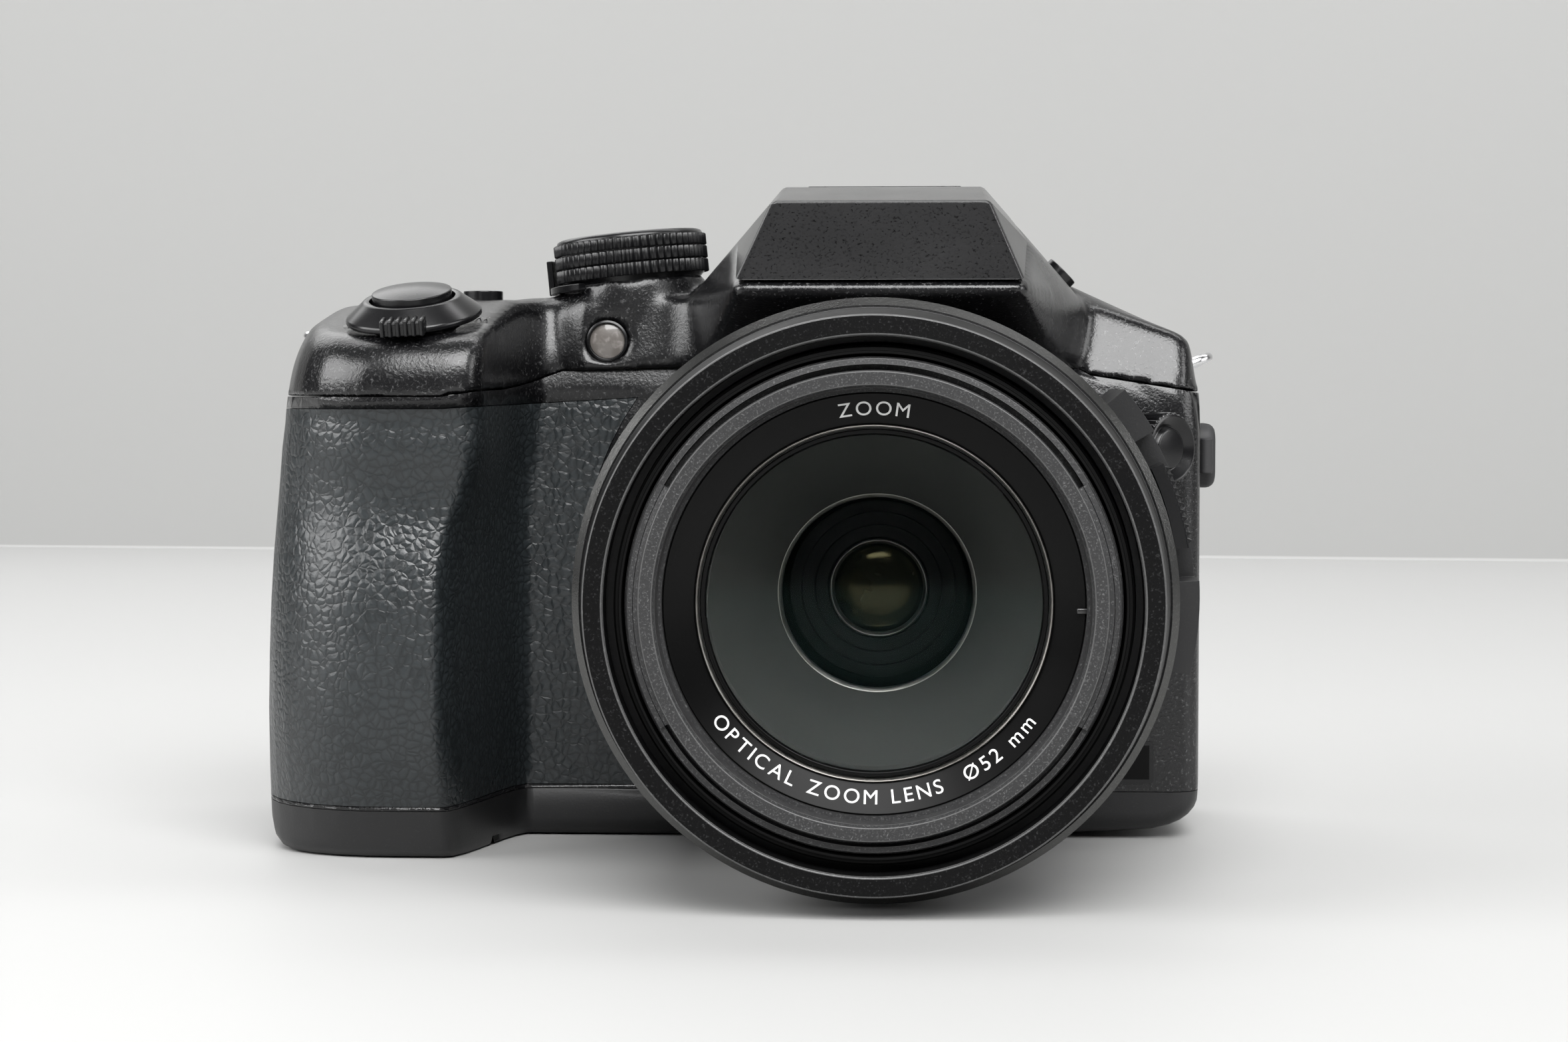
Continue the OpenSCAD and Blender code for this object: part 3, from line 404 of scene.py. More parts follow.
def arcOptic(points, start, end, steps=40):
    # part of a turned ring, from one angle to another, closed at both ends
    bm = bmesh.new()
    verts = [bm.verts.new((p[0] * mm, -p[1] * mm, axisZ * mm)) for p in points]
    face = bm.faces.new(verts)
    bmesh.ops.rotate(bm, cent=(0, 0, axisZ * mm), matrix=turnBy(-start, "Y"), verts=verts)
    bmesh.ops.spin(bm, geom=list(bm.verts) + list(bm.edges) + [face], cent=(0, 0, axisZ * mm), axis=(0, -1, 0),
        angle=math.radians(end - start), steps=steps, use_merge=False)
    bmesh.ops.remove_doubles(bm, verts=bm.verts, dist=weld)
    bmesh.ops.recalc_face_normals(bm, faces=bm.faces)
    return bm


def joinMesh(parts):
    # several shapes in one bmesh
    whole = bmesh.new()
    for part in parts:
        mesh = bpy.data.meshes.new("part")
        part.to_mesh(mesh)
        part.free()
        whole.from_mesh(mesh)
        bpy.data.meshes.remove(mesh)
    return whole


# camera, floor and lights

view = {"place": (0.008, -0.445, 0.064), "yaw": 2.939, "pitch": 2.543, "lens": 70.0}
eye = bpy.data.cameras.new("photoCamera")
eye.lens, eye.sensor_width, eye.sensor_fit = view["lens"], 36.0, "HORIZONTAL"
eye.clip_start, eye.clip_end = 0.01, 20.0
eyeObject = bpy.data.objects.new("photoCamera", eye)
eyeObject.location = view["place"]
eyeObject.rotation_euler = (math.radians(90 - view["pitch"]), 0, math.radians(view["yaw"]))
bpy.context.scene.collection.objects.link(eyeObject)
bpy.context.scene.camera = eyeObject

# the floor tone rises from near to far as painted light where less lamp light reaches the back, and the wall tone is
# darker than the floor as painted shade on a plain sweep
studio = {"front": -1.9, "back": 0.705, "top": 1.9, "half": 1.6, "skew": 0.12,
    "near": (0.348, 0.348, 0.344), "far": (0.415, 0.415, 0.411), "wall": (0.305, 0.305, 0.300)}


def makeFloor():
    mat, tree, shader, place = startMaterial("paleFloor", Roughness=0.55)
    haze = addNode(tree, "ShaderNodeTexNoise", {"Scale": 3.0, "Detail": 3.0})
    split = addNode(tree, "ShaderNodeSeparateXYZ")
    rise = addNode(tree, "ShaderNodeMath", {1: 0.001}, operation="MULTIPLY_ADD")
    climb = addNode(tree, "ShaderNodeMapRange", {"From Min": 0.0011, "From Max": 0.0016}, clamp=True)
    # lighter towards the back: painted light making up for the light that falls off there
    away = addNode(tree, "ShaderNodeMapRange", {"From Min": -0.40, "From Max": 0.60}, clamp=True)
    ground = addNode(tree, "ShaderNodeMix", {6: (*studio["near"], 1), 7: (*studio["far"], 1)}, data_type="RGBA")
    whole = addNode(tree, "ShaderNodeMix", {7: (*studio["wall"], 1)}, data_type="RGBA")
    wire(tree, (place, haze.inputs["Vector"]), (place, split.inputs[0]), (haze.outputs["Fac"], rise.inputs[0]),
        (split.outputs["Z"], rise.inputs[2]), (rise.outputs[0], climb.inputs[0]), (split.outputs["Y"], away.inputs[0]),
        (away.outputs[0], ground.inputs[0]), (ground.outputs[2], whole.inputs[6]), (climb.outputs[0], whole.inputs[0]),
        (whole.outputs[2], shader.inputs["Base Color"]))
    bm = bmesh.new()
    path = [(studio["front"], 0.0), (studio["back"], 0.0), (studio["back"], studio["top"])]
    verts = [bm.verts.new((-studio["half"], y, z)) for y, z in path]
    edges = [bm.edges.new(pair) for pair in zip(verts, verts[1:])]
    sweep = bmesh.ops.extrude_edge_only(bm, edges=edges)["geom"]
    bmesh.ops.translate(bm, vec=(2 * studio["half"], 0, 0), verts=onlyVerts(sweep))
    for v in bm.verts:
        if v.co.y > studio["front"]:
            v.co.y -= v.co.x * studio["skew"]    # the wall stands a little askew
    bmesh.ops.recalc_face_normals(bm, faces=bm.faces)
    mesh = bpy.data.meshes.new("floor")
    bm.to_mesh(mesh)
    bm.free()
    mesh.materials.append(mat)
    floor = bpy.data.objects.new("floor", mesh)
    bpy.context.scene.collection.objects.link(floor)


makeFloor()

lamps = [
    {"name": "frontBox", "place": (0.17, -0.80, 0.84), "aim": (0, 0, 0.05), "size": (0.95, 0.80), "power": 28.0},
    {"name": "leftBox", "place": (-1.0, -0.42, 0.52), "aim": (0, 0, 0.05), "size": (0.95, 0.70), "power": 15.0},
    {"name": "wallBox", "place": (0.25, 0.5, 1.5), "aim": (0.25, 0.55, 0.0), "size": (2.2, 0.36), "power": 14.0},
    {"name": "rightBox", "place": (1.0, -0.30, 0.42), "aim": (0, 0, 0.05), "size": (0.6, 0.6), "power": 5.0},
    {"name": "backBox", "place": (-0.30, 0.62, 0.62), "aim": (-0.02, 0, 0.05), "size": (0.9, 0.4), "power": 2.5},
]
for row in lamps:
    light = bpy.data.lights.new(row["name"], "AREA")
    light.shape, light.size, light.size_y, light.energy = "RECTANGLE", *row["size"], row["power"]
    lamp = bpy.data.objects.new(row["name"], light)
    lamp.location = row["place"]
    lamp.rotation_euler = (Vector(row["aim"]) - Vector(row["place"])).to_track_quat("-Z", "Y").to_euler()
    bpy.context.scene.collection.objects.link(lamp)
world = bpy.data.worlds.new("studioAir")
world.use_nodes = True
world.node_tree.nodes["Background"].inputs["Color"].default_value = (0.9, 0.92, 0.95, 1)
world.node_tree.nodes["Background"].inputs["Strength"].default_value = 0.07
bpy.context.scene.world = world
bpy.context.scene.view_settings.view_transform = "Standard"
print("studio ready")


# body mouldings

covers = {"front_cover": "paint", "rear_cover": "paint", "base_plate": "satin", "grip_rubber": "rubber"}
for node, finish in covers.items():
    dress(node, finish, 0, 32, flat=0)
topCover = {"voxel": 0.54, "first": 2, "passes": 10, "reach": 0.9,
    "seams": ("front_cover", "rear_cover", "flash_button"),
    "soft": (((-57, -34, 64), (-42.5, -8, 79), 40), ((22, -32, 63), (44.3, 17, 82), 24))}
# flat facet that fills out the right shoulder up to its crisp top edge
shoulder = {"corners": ((26.2, -14.6, 66.2), (42.7, -14.9, 65.2), (26.2, -10.2, 76.9), (42.5, -12.3, 71.4),
    (44.0, -10.6, 65.2), (43.6, -9.8, 70.6), (26.2, -6.0, 77.2), (42.6, -3.0, 70.0), (26.2, -11.5, 66.2),
    (42.7, -9.0, 65.2))}


def facetBlock(corners):
    bm = bmesh.new()
    points = [bm.verts.new(Vector(corner) * mm) for corner in corners]
    inside = bmesh.ops.convex_hull(bm, input=points)["geom_interior"]
    bmesh.ops.delete(bm, geom=onlyVerts(inside), context="VERTS")
    bmesh.ops.recalc_face_normals(bm, faces=bm.faces)
    return bm


coverSkin = remesh(joinMesh([nodeCopy("top_cover", 0), facetBlock(**shoulder)]), **topCover)
print("top cover faces:", len(coverSkin.faces))
finishPiece("top-cover-skin", coverSkin, "paint", nodeInfo["top_cover"], ["top_cover"], angle=80)
print("mouldings dressed")


# lens

lensBody = nodeInfo["front_barrel"]
frontRing = {"points": [(34.3, 72.5, 0), (36.5, 72.5, 0.2), (37.0, 73.0, 0.2), (37.0, 74.9, 0.0), (36.05, 75.95, 0.0),
    (35.75, 76.0, 0.03), (35.72, 76.6, 0.05), (34.8, 83.75, 0.1), (34.7, 84.0, 0.12), (32.4, 84.0, 0.12),
    (32.2, 83.8, 0.1), (32.2, 80.0, 0.1), (34.3, 77.6, 0)], "chamfer": (36.02, 37.03, 74.85, 76.0)}


def bandFaces(bm, low, high, near, far, index):
    # faces of a turned ring between two radii and two heights
    for face in bm.faces:
        spot = face.calc_center_median() / mm
        if low < math.hypot(spot.x, spot.z - axisZ) < high and near < -spot.y < far:
            face.material_index = index
    return bm


# the narrow rounded edge faces take the painted edge highlight
ringSkin = edgeFaces(latheOptic(filletProfile(frontRing["points"])))
finishPiece("front-ring-skin", bandFaces(ringSkin, *frontRing["chamfer"], 2),
    ["ringSand", "edge", "chamfer"], nodeInfo["front_ring"], ["front_ring"], angle=24)

barrel = {"points": [(22.3, 12.0, 0), (36.1, 12.0, 0), (36.1, 27.0, 0.1), (35.8, 27.2, 0.05), (35.8, 27.8, 0.05),
    (36.1, 28.0, 0.1), (36.1, 54.0, 0.1), (35.8, 54.2, 0.05), (35.8, 54.8, 0.05), (36.1, 55.0, 0.1), (36.1, 66.4, 0.3),
    (36.7, 68.8, 0.3), (36.7, 72.4, 0.1), (34.2, 72.4, 0), (34.2, 76.4, 0.1), (31.55, 76.4, 0.1), (31.55, 14.4, 0),
    (22.3, 14.4, 0)]}
finishPiece("lens-barrel-skin", latheOptic(filletProfile(barrel["points"])), "satin", nodeInfo["lens_barrel"],
    ["lens_barrel"], angle=28)

zoomTube = {"points": [(30.15, 20.2, 0), (31.2, 20.2, 0), (31.2, 79.0, 0.04), (31.0, 79.2, 0.03), (31.0, 79.8, 0.03),
    (31.2, 80.0, 0.04), (31.2, 81.2, 0.06), (30.95, 81.4, 0.04), (30.9, 82.0, 0.05), (30.5, 82.05, 0.04),
    (30.45, 82.4, 0.04), (30.15, 82.4, 0.04)]}
finishPiece("zoom-tube-skin", latheOptic(filletProfile(zoomTube["points"])), "deep", nodeInfo["zoom_tube"],
    ["zoom_tube"], angle=28)

frontBarrel = {"points": [(28.2, 22.0, 0), (29.8, 22.0, 0.1), (29.8, 81.8, 0.05), (29.55, 82.25, 0.05),
    (28.85, 82.4, 0.05), (28.8, 80.6, 0), (28.2, 80.6, 0), (28.14, 83.75, 0.1), (28.0, 84.0, 0.1), (26.4, 84.0, 0.1),
    (26.05, 83.4, 0.1), (26.0, 80.2, 0), (25.55, 80.2, 0), (25.55, 76.4, 0), (28.2, 76.4, 0)],
    "tab": [(28.1, 80.7), (29.5, 80.7), (29.5, 82.5), (29.4, 82.85), (28.75, 83.0), (28.7, 82.9), (28.65, 83.1),
    (28.1, 83.3)], "tabSpans": ((-30, 30), (150, 210))}
# the narrow rounded edge faces take the painted edge highlight
finishPiece("front-barrel-skin", joinMesh([edgeFaces(latheOptic(filletProfile(frontBarrel["points"])))]
    + [arcOptic(frontBarrel["tab"], *span) for span in frontBarrel["tabSpans"]]),
    ["barrel", "edge"], lensBody, ["front_barrel"], angle=24)

nameRing = {"points": [(21.3, 76.4, 0), (25.5, 76.4, 0), (25.5, 79.0, 0.04), (25.35, 79.08, 0.04),
    (21.75, 77.72, 0.05), (21.7, 77.4, 0.04), (21.3, 77.3, 0)],
    "rim": [(21.28, 77.0, 0), (21.66, 77.0, 0), (21.66, 78.0, 0.06), (21.5, 78.15, 0.08), (21.3, 77.9, 0.06)],
    "retainer": [(20.35, 76.65, 0.03), (20.55, 77.25, 0.08), (21.0, 77.3, 0.06), (21.1, 76.9, 0.03), (21.1, 76.4, 0)]}
finishPiece("name-ring-skin", latheOptic(filletProfile(nameRing["points"])), "gloss", lensBody,
    ["name_ring"], angle=24)
finishPiece("name-ring-rim", latheOptic(filletProfile(nameRing["rim"])), "rim", lensBody, angle=24)
finishPiece("lens-retainer", latheOptic(filletProfile(nameRing["retainer"])), "gloss", lensBody, angle=24)

frontGlass = {"edge": 21.05, "front": (78.9, 105.0), "back": (77.3, 170.0)}


def lensOutline(edge, front, back, count=28):
    # two spherical faces of a lens, from the axis out to the edge and back
    top, big = front
    base, flat = back
    rows = [edge * k / count for k in range(count + 1)]
    out = [(r, top - big + math.sqrt(big * big - r * r)) for r in rows]
    return out + [(r, base - flat + math.sqrt(flat * flat - r * r)) for r in reversed(rows)]


finishPiece("front-lens-skin", latheOptic(lensOutline(**frontGlass)), "glass", lensBody, ["front_lens"],
    angle=40)

lensCell = {"points": [(20.4, 71.9, 0.05), (12.25, 58.1, 0.05), (12.25, 56.4, 0.05), (13.6, 56.4, 0), (22.0, 70.3, 0),
    (28.15, 70.3, 0), (28.15, 76.3, 0), (21.2, 76.3, 0.05), (21.2, 71.9, 0)],
    "rim": [(12.0, 57.3, 0.05), (12.3, 57.3, 0), (12.75, 58.35, 0.05), (12.5, 58.6, 0.1), (12.05, 58.2, 0.1)]}
finishPiece("lens-cell-skin", latheOptic(filletProfile(lensCell["points"])), "inner", lensBody,
    ["lens_cell"], angle=24)
finishPiece("lens-cell-rim", latheOptic(filletProfile(lensCell["rim"])), "rim", lensBody, angle=40)

variatorBody = nodeInfo["variator"]
variator = {"points": [(6.0, 40.0, 0), (27.85, 40.0, 0), (27.85, 43.0, 0.1), (11.4, 43.0, 0), (11.4, 50.0, 0.1),
    (9.9, 50.0, 0.04), (9.8, 49.6, 0.04), (8.2, 49.5, 0.04), (8.1, 49.1, 0.04), (6.6, 49.0, 0.05), (6.0, 48.6, 0.05)],
    "rim": [(5.7, 48.3, 0.03), (6.05, 48.3, 0), (6.35, 49.1, 0.05), (6.1, 49.25, 0.05), (5.75, 48.8, 0.05)],
    "glass": {"edge": 5.95, "front": (48.5, 16.0), "back": (45.0, 60.0)}}
finishPiece("variator-skin", latheOptic(filletProfile(variator["points"]), 120), "deep", variatorBody,
    ["variator"], angle=24)
finishPiece("variator-rim", latheOptic(filletProfile(variator["rim"]), 120), "rim", variatorBody, angle=40)
finishPiece("variator-glass", latheOptic(lensOutline(**variator["glass"]), 96), "pupil", variatorBody,
    angle=40)
dress("side_pod", "satin", 0.12)

afLamp = {"centre": (-39.0, 70.3),
    "rim": [(2.4, 13.3, 0), (2.75, 13.3, 0), (2.75, 15.8, 0), (2.95, 15.85, 0.05), (2.95, 16.15, 0.1),
    (2.55, 16.3, 0.1), (2.45, 16.05, 0.06), (2.4, 15.6, 0.05)],
    "glass": {"edge": 2.43, "front": (16.15, 8.5), "back": (14.4, 30.0), "count": 12}}
finishPiece("af-lamp-rim", latheOptic(filletProfile(afLamp["rim"]), 64, afLamp["centre"]), "control",
    nodeInfo["af_lamp"], ["af_lamp"], angle=30)
finishPiece("af-lamp-lens", latheOptic(lensOutline(**afLamp["glass"]), 64, afLamp["centre"]), "lamp",
    nodeInfo["af_lamp"], angle=40)
print("lens dressed")


# controls, doors and small parts

plain = {
    "thumb_rest": "softRubber", "hot_shoe": "shoe", "eyecup": "softRubber", "eyepiece_lens": "glass",
    "tripod_bush": "bush", "strap_lugs": "metal", "power_lever": "control", "shutter_button": "control",
    "movie_button": "control", "burst_button": "control", "rear_dial": "control", "side_button": "control",
    "flash_head": "flashPaint", "flash_window": "clear", "flash_button": "control", "screen_arm": "satin",
    "screen_frame": "satin", "battery_door": "satin", "door_latch": "control", "terminal_door": "satin",
    "focus_switch": "control", "lock_button": "control", "finder_button": "control", "play_button": "control",
    "menu_button": "control", "key_up": "control", "key_down": "control", "key_left": "control",
    "key_right": "control", "set_button": "control", "dioptre_dial": "control",
}
for node, finish in plain.items():
    dress(node, finish)


def turned(points, steps=96):
    # spin an outline of (radius, height) about Z
    return spinLoop([(r * mm, 0, h * mm) for r, h in points], (0, 0, 0), (0, 0, 1), steps)


def knurlBand(radius, teeth, depth, low, high, ease):
    # a band of rounded teeth, eased at both rims
    bm = bmesh.new()
    bmesh.ops.create_circle(bm, cap_ends=False, segments=teeth * 8, radius=radius * mm)
    for v in bm.verts:
        wave = 0.5 - 0.5 * math.cos(math.atan2(v.co.y, v.co.x) * teeth)
        v.co *= 1 - depth / radius * wave ** 0.8
    rows = [(low, -ease), (low + ease * 0.4, -ease * 0.35), (low + ease, 0), (high - ease, 0),
        (high - ease * 0.4, -ease * 0.35), (high, -ease)]
    loop, ring, last = list(bm.edges), list(bm.verts), 0
    for row, (height, shrink) in enumerate(rows):
        if row:
            grown = bmesh.ops.extrude_edge_only(bm, edges=loop)["geom"]
            loop, ring = [g for g in grown if isinstance(g, bmesh.types.BMEdge)], onlyVerts(grown)
        for v in ring:
            spoke = Vector((v.co.x, v.co.y, 0))
            spoke *= (radius + shrink) / (radius + last)
            v.co = (spoke.x, spoke.y, height * mm)
        last = shrink
    bmesh.ops.recalc_face_normals(bm, faces=bm.faces)
    return bm


def settle(bm, place, turn):
    # carry a shape from its own frame to its place on the camera
    bmesh.ops.transform(bm, matrix=Matrix.Translation(Vector(place) * mm) @ turn.to_4x4(), verts=bm.verts)
    return bm


modeDial = {"place": (-36.0, -6.0, 76.6), "lean": -5.6, "radius": 11.0, "teeth": 60, "depth": 0.42,
    "ease": 0.14, "bands": ((2.9, 4.72), (4.86, 6.6), (6.74, 8.35)),
    "core": [(3.0, -4.6), (10.3, 2.9), (10.3, 8.3), (10.55, 8.35), (10.55, 8.45), (10.35, 8.85), (9.9, 9.06),
    (9.3, 9.1), (9.1, 9.02), (0.0, 9.02), (0.0, 2.9), (0.0, -4.6)]}


def knurledKnob(knob, turn):
    # toothed bands round a turned core
    bands = [knurlBand(knob["radius"], knob["teeth"], knob["depth"], *band, knob["ease"]) for band in knob["bands"]]
    return settle(joinMesh(bands + [turned(knob["core"])]), knob["place"], turn)


dialTurn = turnBy(modeDial["lean"], "Y")
finishPiece("mode-dial-skin", knurledKnob(modeDial, dialTurn), "control", nodeInfo["mode_dial"],
    ["mode_dial", "dial_cap"], angle=50)

zoomLever = {"place": (-63.2, -34.0, 72.406), "tilt": (15.0, -3.0), "ring": [(5.75, 0.7), (9.0, 0.7), (9.2, 0.9),
    (9.2, 1.3), (9.05, 1.62), (7.2, 3.1), (6.75, 3.5), (6.6, 3.62), (6.2, 3.68), (5.85, 3.6), (5.75, 3.4)],
    "ribs": 6, "pitch": 1.05, "rib": (0.62, 2.9, 2.3), "ribAt": (-9.35, 1.9), "ribEase": 0.28,
    "block": ((6.0, 2.4, 1.9), (0, -9.2, 1.7), 0.3)}
leverTurn = turnBy(zoomLever["tilt"][1], "Y") @ turnBy(zoomLever["tilt"][0], "X")


def plainBlock(size):
    bm = bmesh.new()
    bmesh.ops.create_cube(bm, size=mm)
    bmesh.ops.scale(bm, vec=size, verts=bm.verts)
    return bm


def uprightEdges(bm, size):
    return [e for e in bm.edges if abs((e.verts[0].co - e.verts[1].co).z) > 0.5 * size[2] * mm]


def topFace(bm):
    return max(bm.faces, key=lambda f: f.calc_center_median().z)


def roundedBar(size, centre, ease):
    bm = plainBlock(size)
    bmesh.ops.bevel(bm, geom=bm.edges[:], offset=ease * mm, segments=3, profile=0.5, affect="EDGES", material=-1)
    bmesh.ops.translate(bm, vec=Vector(centre) * mm, verts=bm.verts)
    return bm


ribSpots = [((k - (zoomLever["ribs"] - 1) / 2) * zoomLever["pitch"], *zoomLever["ribAt"])
    for k in range(zoomLever["ribs"])]
ribs = [roundedBar(zoomLever["rib"], spot, zoomLever["ribEase"]) for spot in ribSpots]
leverShape = joinMesh([turned(zoomLever["ring"])] + ribs + [roundedBar(*zoomLever["block"])])
finishPiece("zoom-lever-skin", settle(leverShape, zoomLever["place"], leverTurn), "control",
    nodeInfo["zoom_lever"], ["zoom_lever"], angle=50)

sideDial = {"place": (38.43, -23.5, 55.375), "radius": 5.0, "teeth": 36, "depth": 0.3, "ease": 0.3,
    "bands": ((-2.0, 1.85),),
    "core": [(0.0, -7.0), (1.5, -7.0), (1.5, -1.95), (4.7, -1.95), (4.7, 1.7), (4.62, 1.92), (4.4, 2.0), (4.2, 1.92),
    (3.15, 0.95), (3.0, 0.9), (2.88, 1.0), (2.75, 1.5), (2.6, 1.62), (2.4, 1.66), (0.0, 1.66)]}
finishPiece("side-dial-skin", knurledKnob(sideDial, turnBy(45, "Z") @ turnBy(90, "X")), "control",
    nodeInfo["side_dial"], ["side_dial"], angle=40)

sideLever = {"plate": [(37.7, 57.0), (39.2, 57.0), (39.35, 57.15), (39.35, 64.35), (39.15, 64.6), (37.7, 64.6)],
    "span": (9.0, 25.0), "teeth": 11, "first": 10.2, "pitch": 1.36, "tooth": (0.43, 39.15, 39.95),
    "length": (57.4, 64.3)}


def sawTooth(angle, half, root, tip):
    # one pointed tooth across the lever, at its angle round the lens
    bm = bmesh.new()
    near, far = sideLever["length"]
    face = bm.faces.new([bm.verts.new((r * mm, -near * mm, (axisZ + rise) * mm))
        for r, rise in ((root, -half), (tip, 0.0), (root, half))])
    grown = bmesh.ops.extrude_face_region(bm, geom=[face])["geom"]
    bmesh.ops.translate(bm, vec=(0, (near - far) * mm, 0), verts=onlyVerts(grown))
    bmesh.ops.rotate(bm, cent=(0, 0, axisZ * mm), matrix=turnBy(-angle, "Y"), verts=bm.verts)
    bmesh.ops.recalc_face_normals(bm, faces=bm.faces)
    return bm


finishPiece("side-lever-skin", joinMesh([arcOptic(sideLever["plate"], *sideLever["span"])]
    + [sawTooth(sideLever["first"] + k * sideLever["pitch"], *sideLever["tooth"]) for k in range(sideLever["teeth"])]),
    "control", nodeInfo["side_lever"], ["side_lever"], angle=30)

micCover = {"size": (9.4, 9.2, 2.5), "place": (45.95, -3.6, 54.0), "corner": 2.6, "ease": 1.3,
    "dish": (1.7, 0.5, -0.3), "strap": ((1.9, 0.9, 5.0), (45.7, -8.3, 54.0), 0.2), "hinge": (45.7, -8.7, 51.5),
    "knuckle": [(0.0, 0.0), (0.8, 0.0), (0.95, 0.15), (0.95, 4.85), (0.8, 5.0), (0.0, 5.0)]}


def pillow(size, corner, ease, dish):
    # block with rounded corners, a rounded upper rim and a shallow dish (border, slope, depth) in its face
    border, slope, depth = dish
    bm = plainBlock(size)
    bmesh.ops.bevel(bm, geom=uprightEdges(bm, size), offset=corner * mm, segments=8, profile=0.5, affect="EDGES",
        material=-1, clamp_overlap=False)
    top = topFace(bm)
    bmesh.ops.inset_individual(bm, faces=[top], thickness=border * mm, depth=0.0, use_even_offset=True)
    bmesh.ops.inset_individual(bm, faces=[top], thickness=slope * mm, depth=depth * mm, use_even_offset=True)
    rim = [e for e in bm.edges if all(v.co.z > 0.499 * size[2] * mm for v in e.verts) and e.calc_face_angle(0) > 1.0]
    bmesh.ops.bevel(bm, geom=rim, offset=ease * mm, segments=4, profile=0.5, affect="EDGES", material=-1,
        clamp_overlap=False)
    return bm


coverPad = pillow(micCover["size"], micCover["corner"], micCover["ease"], micCover["dish"])
finishPiece("mic-cover-skin", joinMesh([
    settle(coverPad, micCover["place"], turnBy(90, "Z") @ turnBy(90, "X")),
    settle(turned(micCover["knuckle"], 32), micCover["hinge"], Matrix.Identity(3)), roundedBar(*micCover["strap"])]),
    "softRubber", nodeInfo["mic_cover"], ["mic_cover"], angle=40)

# inside pieces keep their CAD shape and take a finish only
inside = {"image_sensor": "board", "rear_group": "deep", "iris_unit": "deep", "battery": "battery",
    "memory_card": "battery", "sockets": "deep"}
for node, finish in inside.items():
    piece = frame["nodes"][node]
    piece.data.materials.clear()
    piece.data.materials.append(finishes[finish])
print("controls dressed")


# printed marks and small fittings

def textShape(text, size):
    # one line of printed letters, thin, lying in the XY plane about its middle
    curve = bpy.data.curves.new("mark", "FONT")
    curve.body, curve.size, curve.extrude = text, size * mm, 0.012 * mm
    curve.align_x, curve.align_y = "CENTER", "CENTER"
    holder = bpy.data.objects.new("mark", curve)
    bpy.context.scene.collection.objects.link(holder)
    flat = holder.evaluated_get(bpy.context.evaluated_depsgraph_get()).to_mesh()
    bm = bmesh.new()
    bm.from_mesh(flat)
    holder.to_mesh_clear()
    bpy.data.objects.remove(holder)
    bpy.data.curves.remove(curve)
    return bm


def laidOn(bm, place, right, up):
    # lay a flat shape on a surface: place in metres, its right and up directions
    right, up = Vector(right).normalized(), Vector(up)
    up = (up - right * up.dot(right)).normalized()
    out = right.cross(up)
    turn = Matrix((right, up, out)).transposed().to_4x4()
    bmesh.ops.transform(bm, matrix=Matrix.Translation(place) @ turn, verts=bm.verts)
    return bm


def surfaceAt(node, start, along, lift):
    # where a straight line meets a CAD node, lifted a little off it
    spot, normal, face, reach = nodeTree(node).ray_cast(Vector(start) * mm, Vector(along))
    if normal.dot(Vector(along)) > 0:
        normal = -normal
    return spot + normal * lift * mm, normal


rearward = ((-1, 0, 0), (0, 0, 1))     # right and up of a mark that is read from behind
screenGlass = {"size": (63.5, 46.9, 0.85), "place": (-0.8, 21.925, 34.5), "corner": 1.15, "border": 2.2}


def borderPlate(size, corner, border):
    # flat plate with rounded corners whose face inside the border has its own finish
    bm = plainBlock(size)
    upright, top = uprightEdges(bm, size), topFace(bm)
    bmesh.ops.inset_individual(bm, faces=[top], thickness=border * mm, depth=0.0, use_even_offset=True)
    top.material_index = 1
    bmesh.ops.bevel(bm, geom=upright, offset=corner * mm, segments=6, profile=0.5, affect="EDGES", material=-1)
    return bm


pane = borderPlate(screenGlass["size"], screenGlass["corner"], screenGlass["border"])
finishPiece("lcd-glass-skin", laidOn(pane, Vector(screenGlass["place"]) * mm, *rearward), ["display", "panel"],
    nodeInfo["lcd_glass"], ["lcd_glass"], angle=40)

nameMarks = {"radius": 23.5, "height": 78.38, "lean": 20.7, "size": 2.55, "gap": 0.55, "space": 1.2,
    "lines": (("ZOOM", 90, 1), ("OPTICAL ZOOM LENS  Ø52 mm", 270, -1))}


def ringLetters(text, middle, sense):
    # letters round the name ring: sense 1 has their tops outwards, -1 inwards
    shapes, widths = [], []
    for letter in text:
        if letter == " ":
            shapes.append(None)
            widths.append(nameMarks["space"])
            continue
        bm = textShape(letter, nameMarks["size"])
        xs = [v.co.x for v in bm.verts]
        bmesh.ops.translate(bm, vec=(-(max(xs) + min(xs)) / 2, 0, 0), verts=bm.verts)
        shapes.append(bm)
        widths.append((max(xs) - min(xs)) / mm + nameMarks["gap"])
    lean = math.radians(nameMarks["lean"])
    run = -sum(widths) / 2
    for bm, width in zip(shapes, widths):
        angle = math.radians(middle) - sense * (run + width / 2) / nameMarks["radius"]
        run += width
        if bm is None:
            continue
        spoke = Vector((math.cos(angle), 0, math.sin(angle)))
        place = Vector((0, -nameMarks["height"] * mm, axisZ * mm)) + spoke * nameMarks["radius"] * mm
        up = (spoke * math.cos(lean) + Vector((0, -math.sin(lean), 0))) * sense
        laidOn(bm, place, Vector((math.sin(angle), 0, -math.cos(angle))) * sense, up)
    return [bm for bm in shapes if bm]


finishPiece("name-ring-marks", joinMesh([bm for line in nameMarks["lines"] for bm in ringLetters(*line)]), "ink",
    lensBody, angle=markAngle)

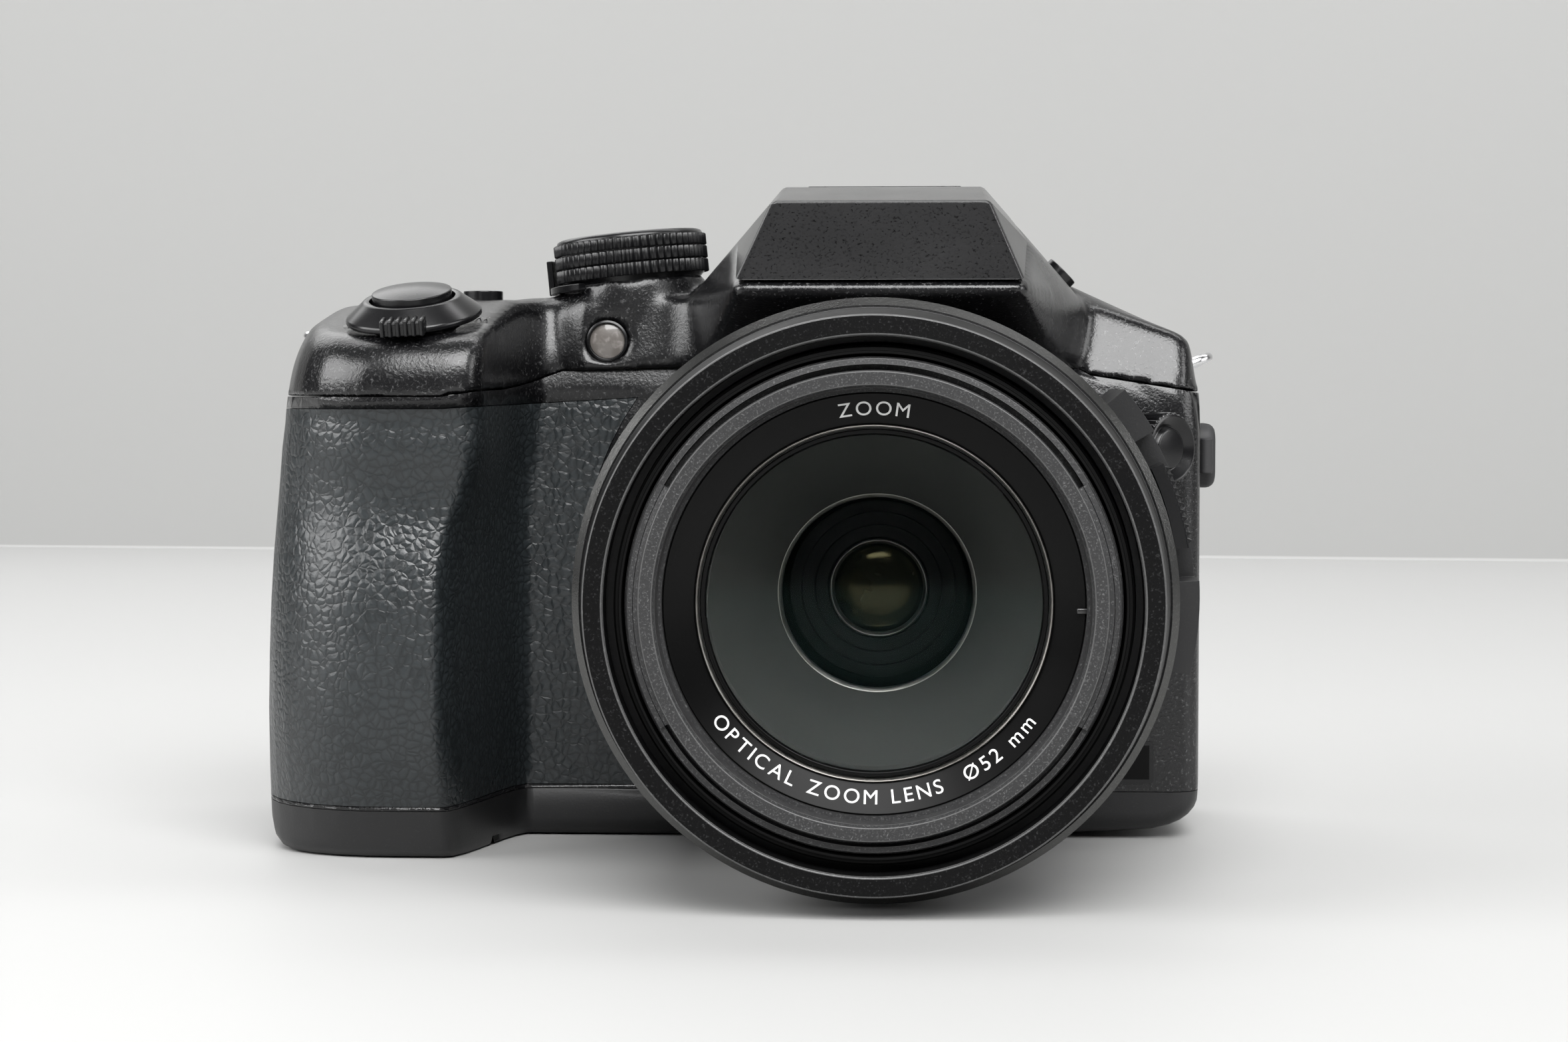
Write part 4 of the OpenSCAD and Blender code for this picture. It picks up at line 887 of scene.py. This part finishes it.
dialMarks = {"count": 8, "first": 200, "radius": 7.6, "size": 2.6, "height": 9.05}
dialAxes = [dialTurn @ Vector(axis) for axis in ((1, 0, 0), (0, 1, 0), (0, 0, 1))]
numbers = []
for k in range(dialMarks["count"]):
    angle = math.radians(dialMarks["first"] + 360 * k / dialMarks["count"])
    spoke = dialAxes[0] * math.cos(angle) + dialAxes[1] * math.sin(angle)
    place = Vector(modeDial["place"]) + dialAxes[2] * dialMarks["height"] + spoke * dialMarks["radius"]
    numbers.append(laidOn(textShape(str(k + 1), dialMarks["size"]), place * mm, spoke.cross(dialAxes[2]), spoke))
finishPiece("mode-dial-marks", joinMesh(numbers), "ink", nodeInfo["mode_dial"], angle=markAngle)

roofMarks = {"size": 2.2, "above": 95, "spots": {"W": (-54.4, -31.0), "T": (-72.4, -33.0)}}
letters = []
for letter, (x, y) in roofMarks["spots"].items():
    spot, normal = surfaceAt("top_cover", (x, y, roofMarks["above"]), (0, 0, -1), markLift)
    letters.append(laidOn(textShape(letter, roofMarks["size"]), spot, Vector((0, -1, 0)).cross(normal), (0, -1, 0)))
finishPiece("zoom-marks", joinMesh(letters), "ink", nodeInfo["top_cover"], angle=markAngle)

rearMarks = {"depth": 22.02, "words": (("MENU", -44.5, 16.9, 1.7), ("AF", -50.3, 61.6, 1.6), ("MF", -39.4, 61.6, 1.6))}
words = [laidOn(textShape(word, size), Vector((x, rearMarks["depth"], z)) * mm, *rearward)
    for word, x, z, size in rearMarks["words"]]
finishPiece("rear-marks", joinMesh(words), "ink", nodeInfo["rear_cover"], angle=markAngle)


def arrowShape(size):
    # small printed triangle that points up
    bm = bmesh.new()
    bmesh.ops.create_circle(bm, cap_ends=True, segments=3, radius=size * mm)
    return bm


def markButton(node, shape, x, z, right, up):
    # a mark on the rear face of a button
    spot = Vector((x * mm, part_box(node)[1].y + markLift * mm, z * mm))
    finishPiece(node.replace("_", "-") + "-mark", laidOn(shape, spot, right, up), "ink", nodeInfo[node],
        angle=markAngle)


keyMarks = {"centre": (-57.0, 24.0), "reach": 8.1, "size": 0.75,
    "keys": {"key_up": (0, 1), "key_down": (0, -1), "key_left": (1, 0), "key_right": (-1, 0)}}
for node, (x, z) in keyMarks["keys"].items():
    up = Vector((x, 0, z))
    markButton(node, arrowShape(keyMarks["size"]), keyMarks["centre"][0] + x * keyMarks["reach"],
        keyMarks["centre"][1] + z * keyMarks["reach"], up.cross(Vector((0, 1, 0))), up)
playMark = {"place": (-45.0, 40.5), "size": 1.1}
markButton("play_button", arrowShape(playMark["size"]), *playMark["place"], (0, 0, -1), (-1, 0, 0))
setMark = {"place": (-57.0, 24.0), "size": 1.9}
markButton("set_button", textShape("SET", setMark["size"]), *setMark["place"], *rearward)

shoePins = {"floor": 89.2, "root": -0.2, "rim": (0.06, 0.12, 0.14), "crown": 0.16,
    "spots": ((0, -2.0, 1.35), (-3.4, 2.2, 0.75), (3.4, 2.2, 0.75), (-3.4, -6.0, 0.75), (3.4, -6.0, 0.75))}


def contactPin(x, y, r):
    # low rounded stud on the floor of the shoe
    side, inset, rise = shoePins["rim"]
    root, crown = shoePins["root"], shoePins["crown"]
    stud = turned([(0.0, root), (r, root), (r, side), (r - inset, rise), (0.0, crown)], 32)
    return settle(stud, (x, y, shoePins["floor"]), Matrix.Identity(3))


finishPiece("shoe-contacts", joinMesh([contactPin(*spot) for spot in shoePins["spots"]]), "contact",
    nodeInfo["hot_shoe"], angle=30)

indexPin = {"size": (1.3, 0.6, 0.7), "centre": (25.0, -79.35, 37.0), "ease": 0.15}
finishPiece("index-pin", roundedBar(**indexPin), "shoe", lensBody, angle=40)

frontPlate = {"size": (8.4, 6.0, 0.5), "start": (33.8, -30.0, 11.05), "corner": 0.5, "border": 0.6}
spot, normal = surfaceAt("front_cover", frontPlate["start"], (0, 1, 0), 0.0)
plate = borderPlate(frontPlate["size"], frontPlate["corner"], frontPlate["border"])
finishPiece("front-plate", laidOn(plate, spot, (1, 0, 0), (0, 0, 1)), ["control", "gloss"], nodeInfo["front_cover"],
    angle=30)
print("marks printed")
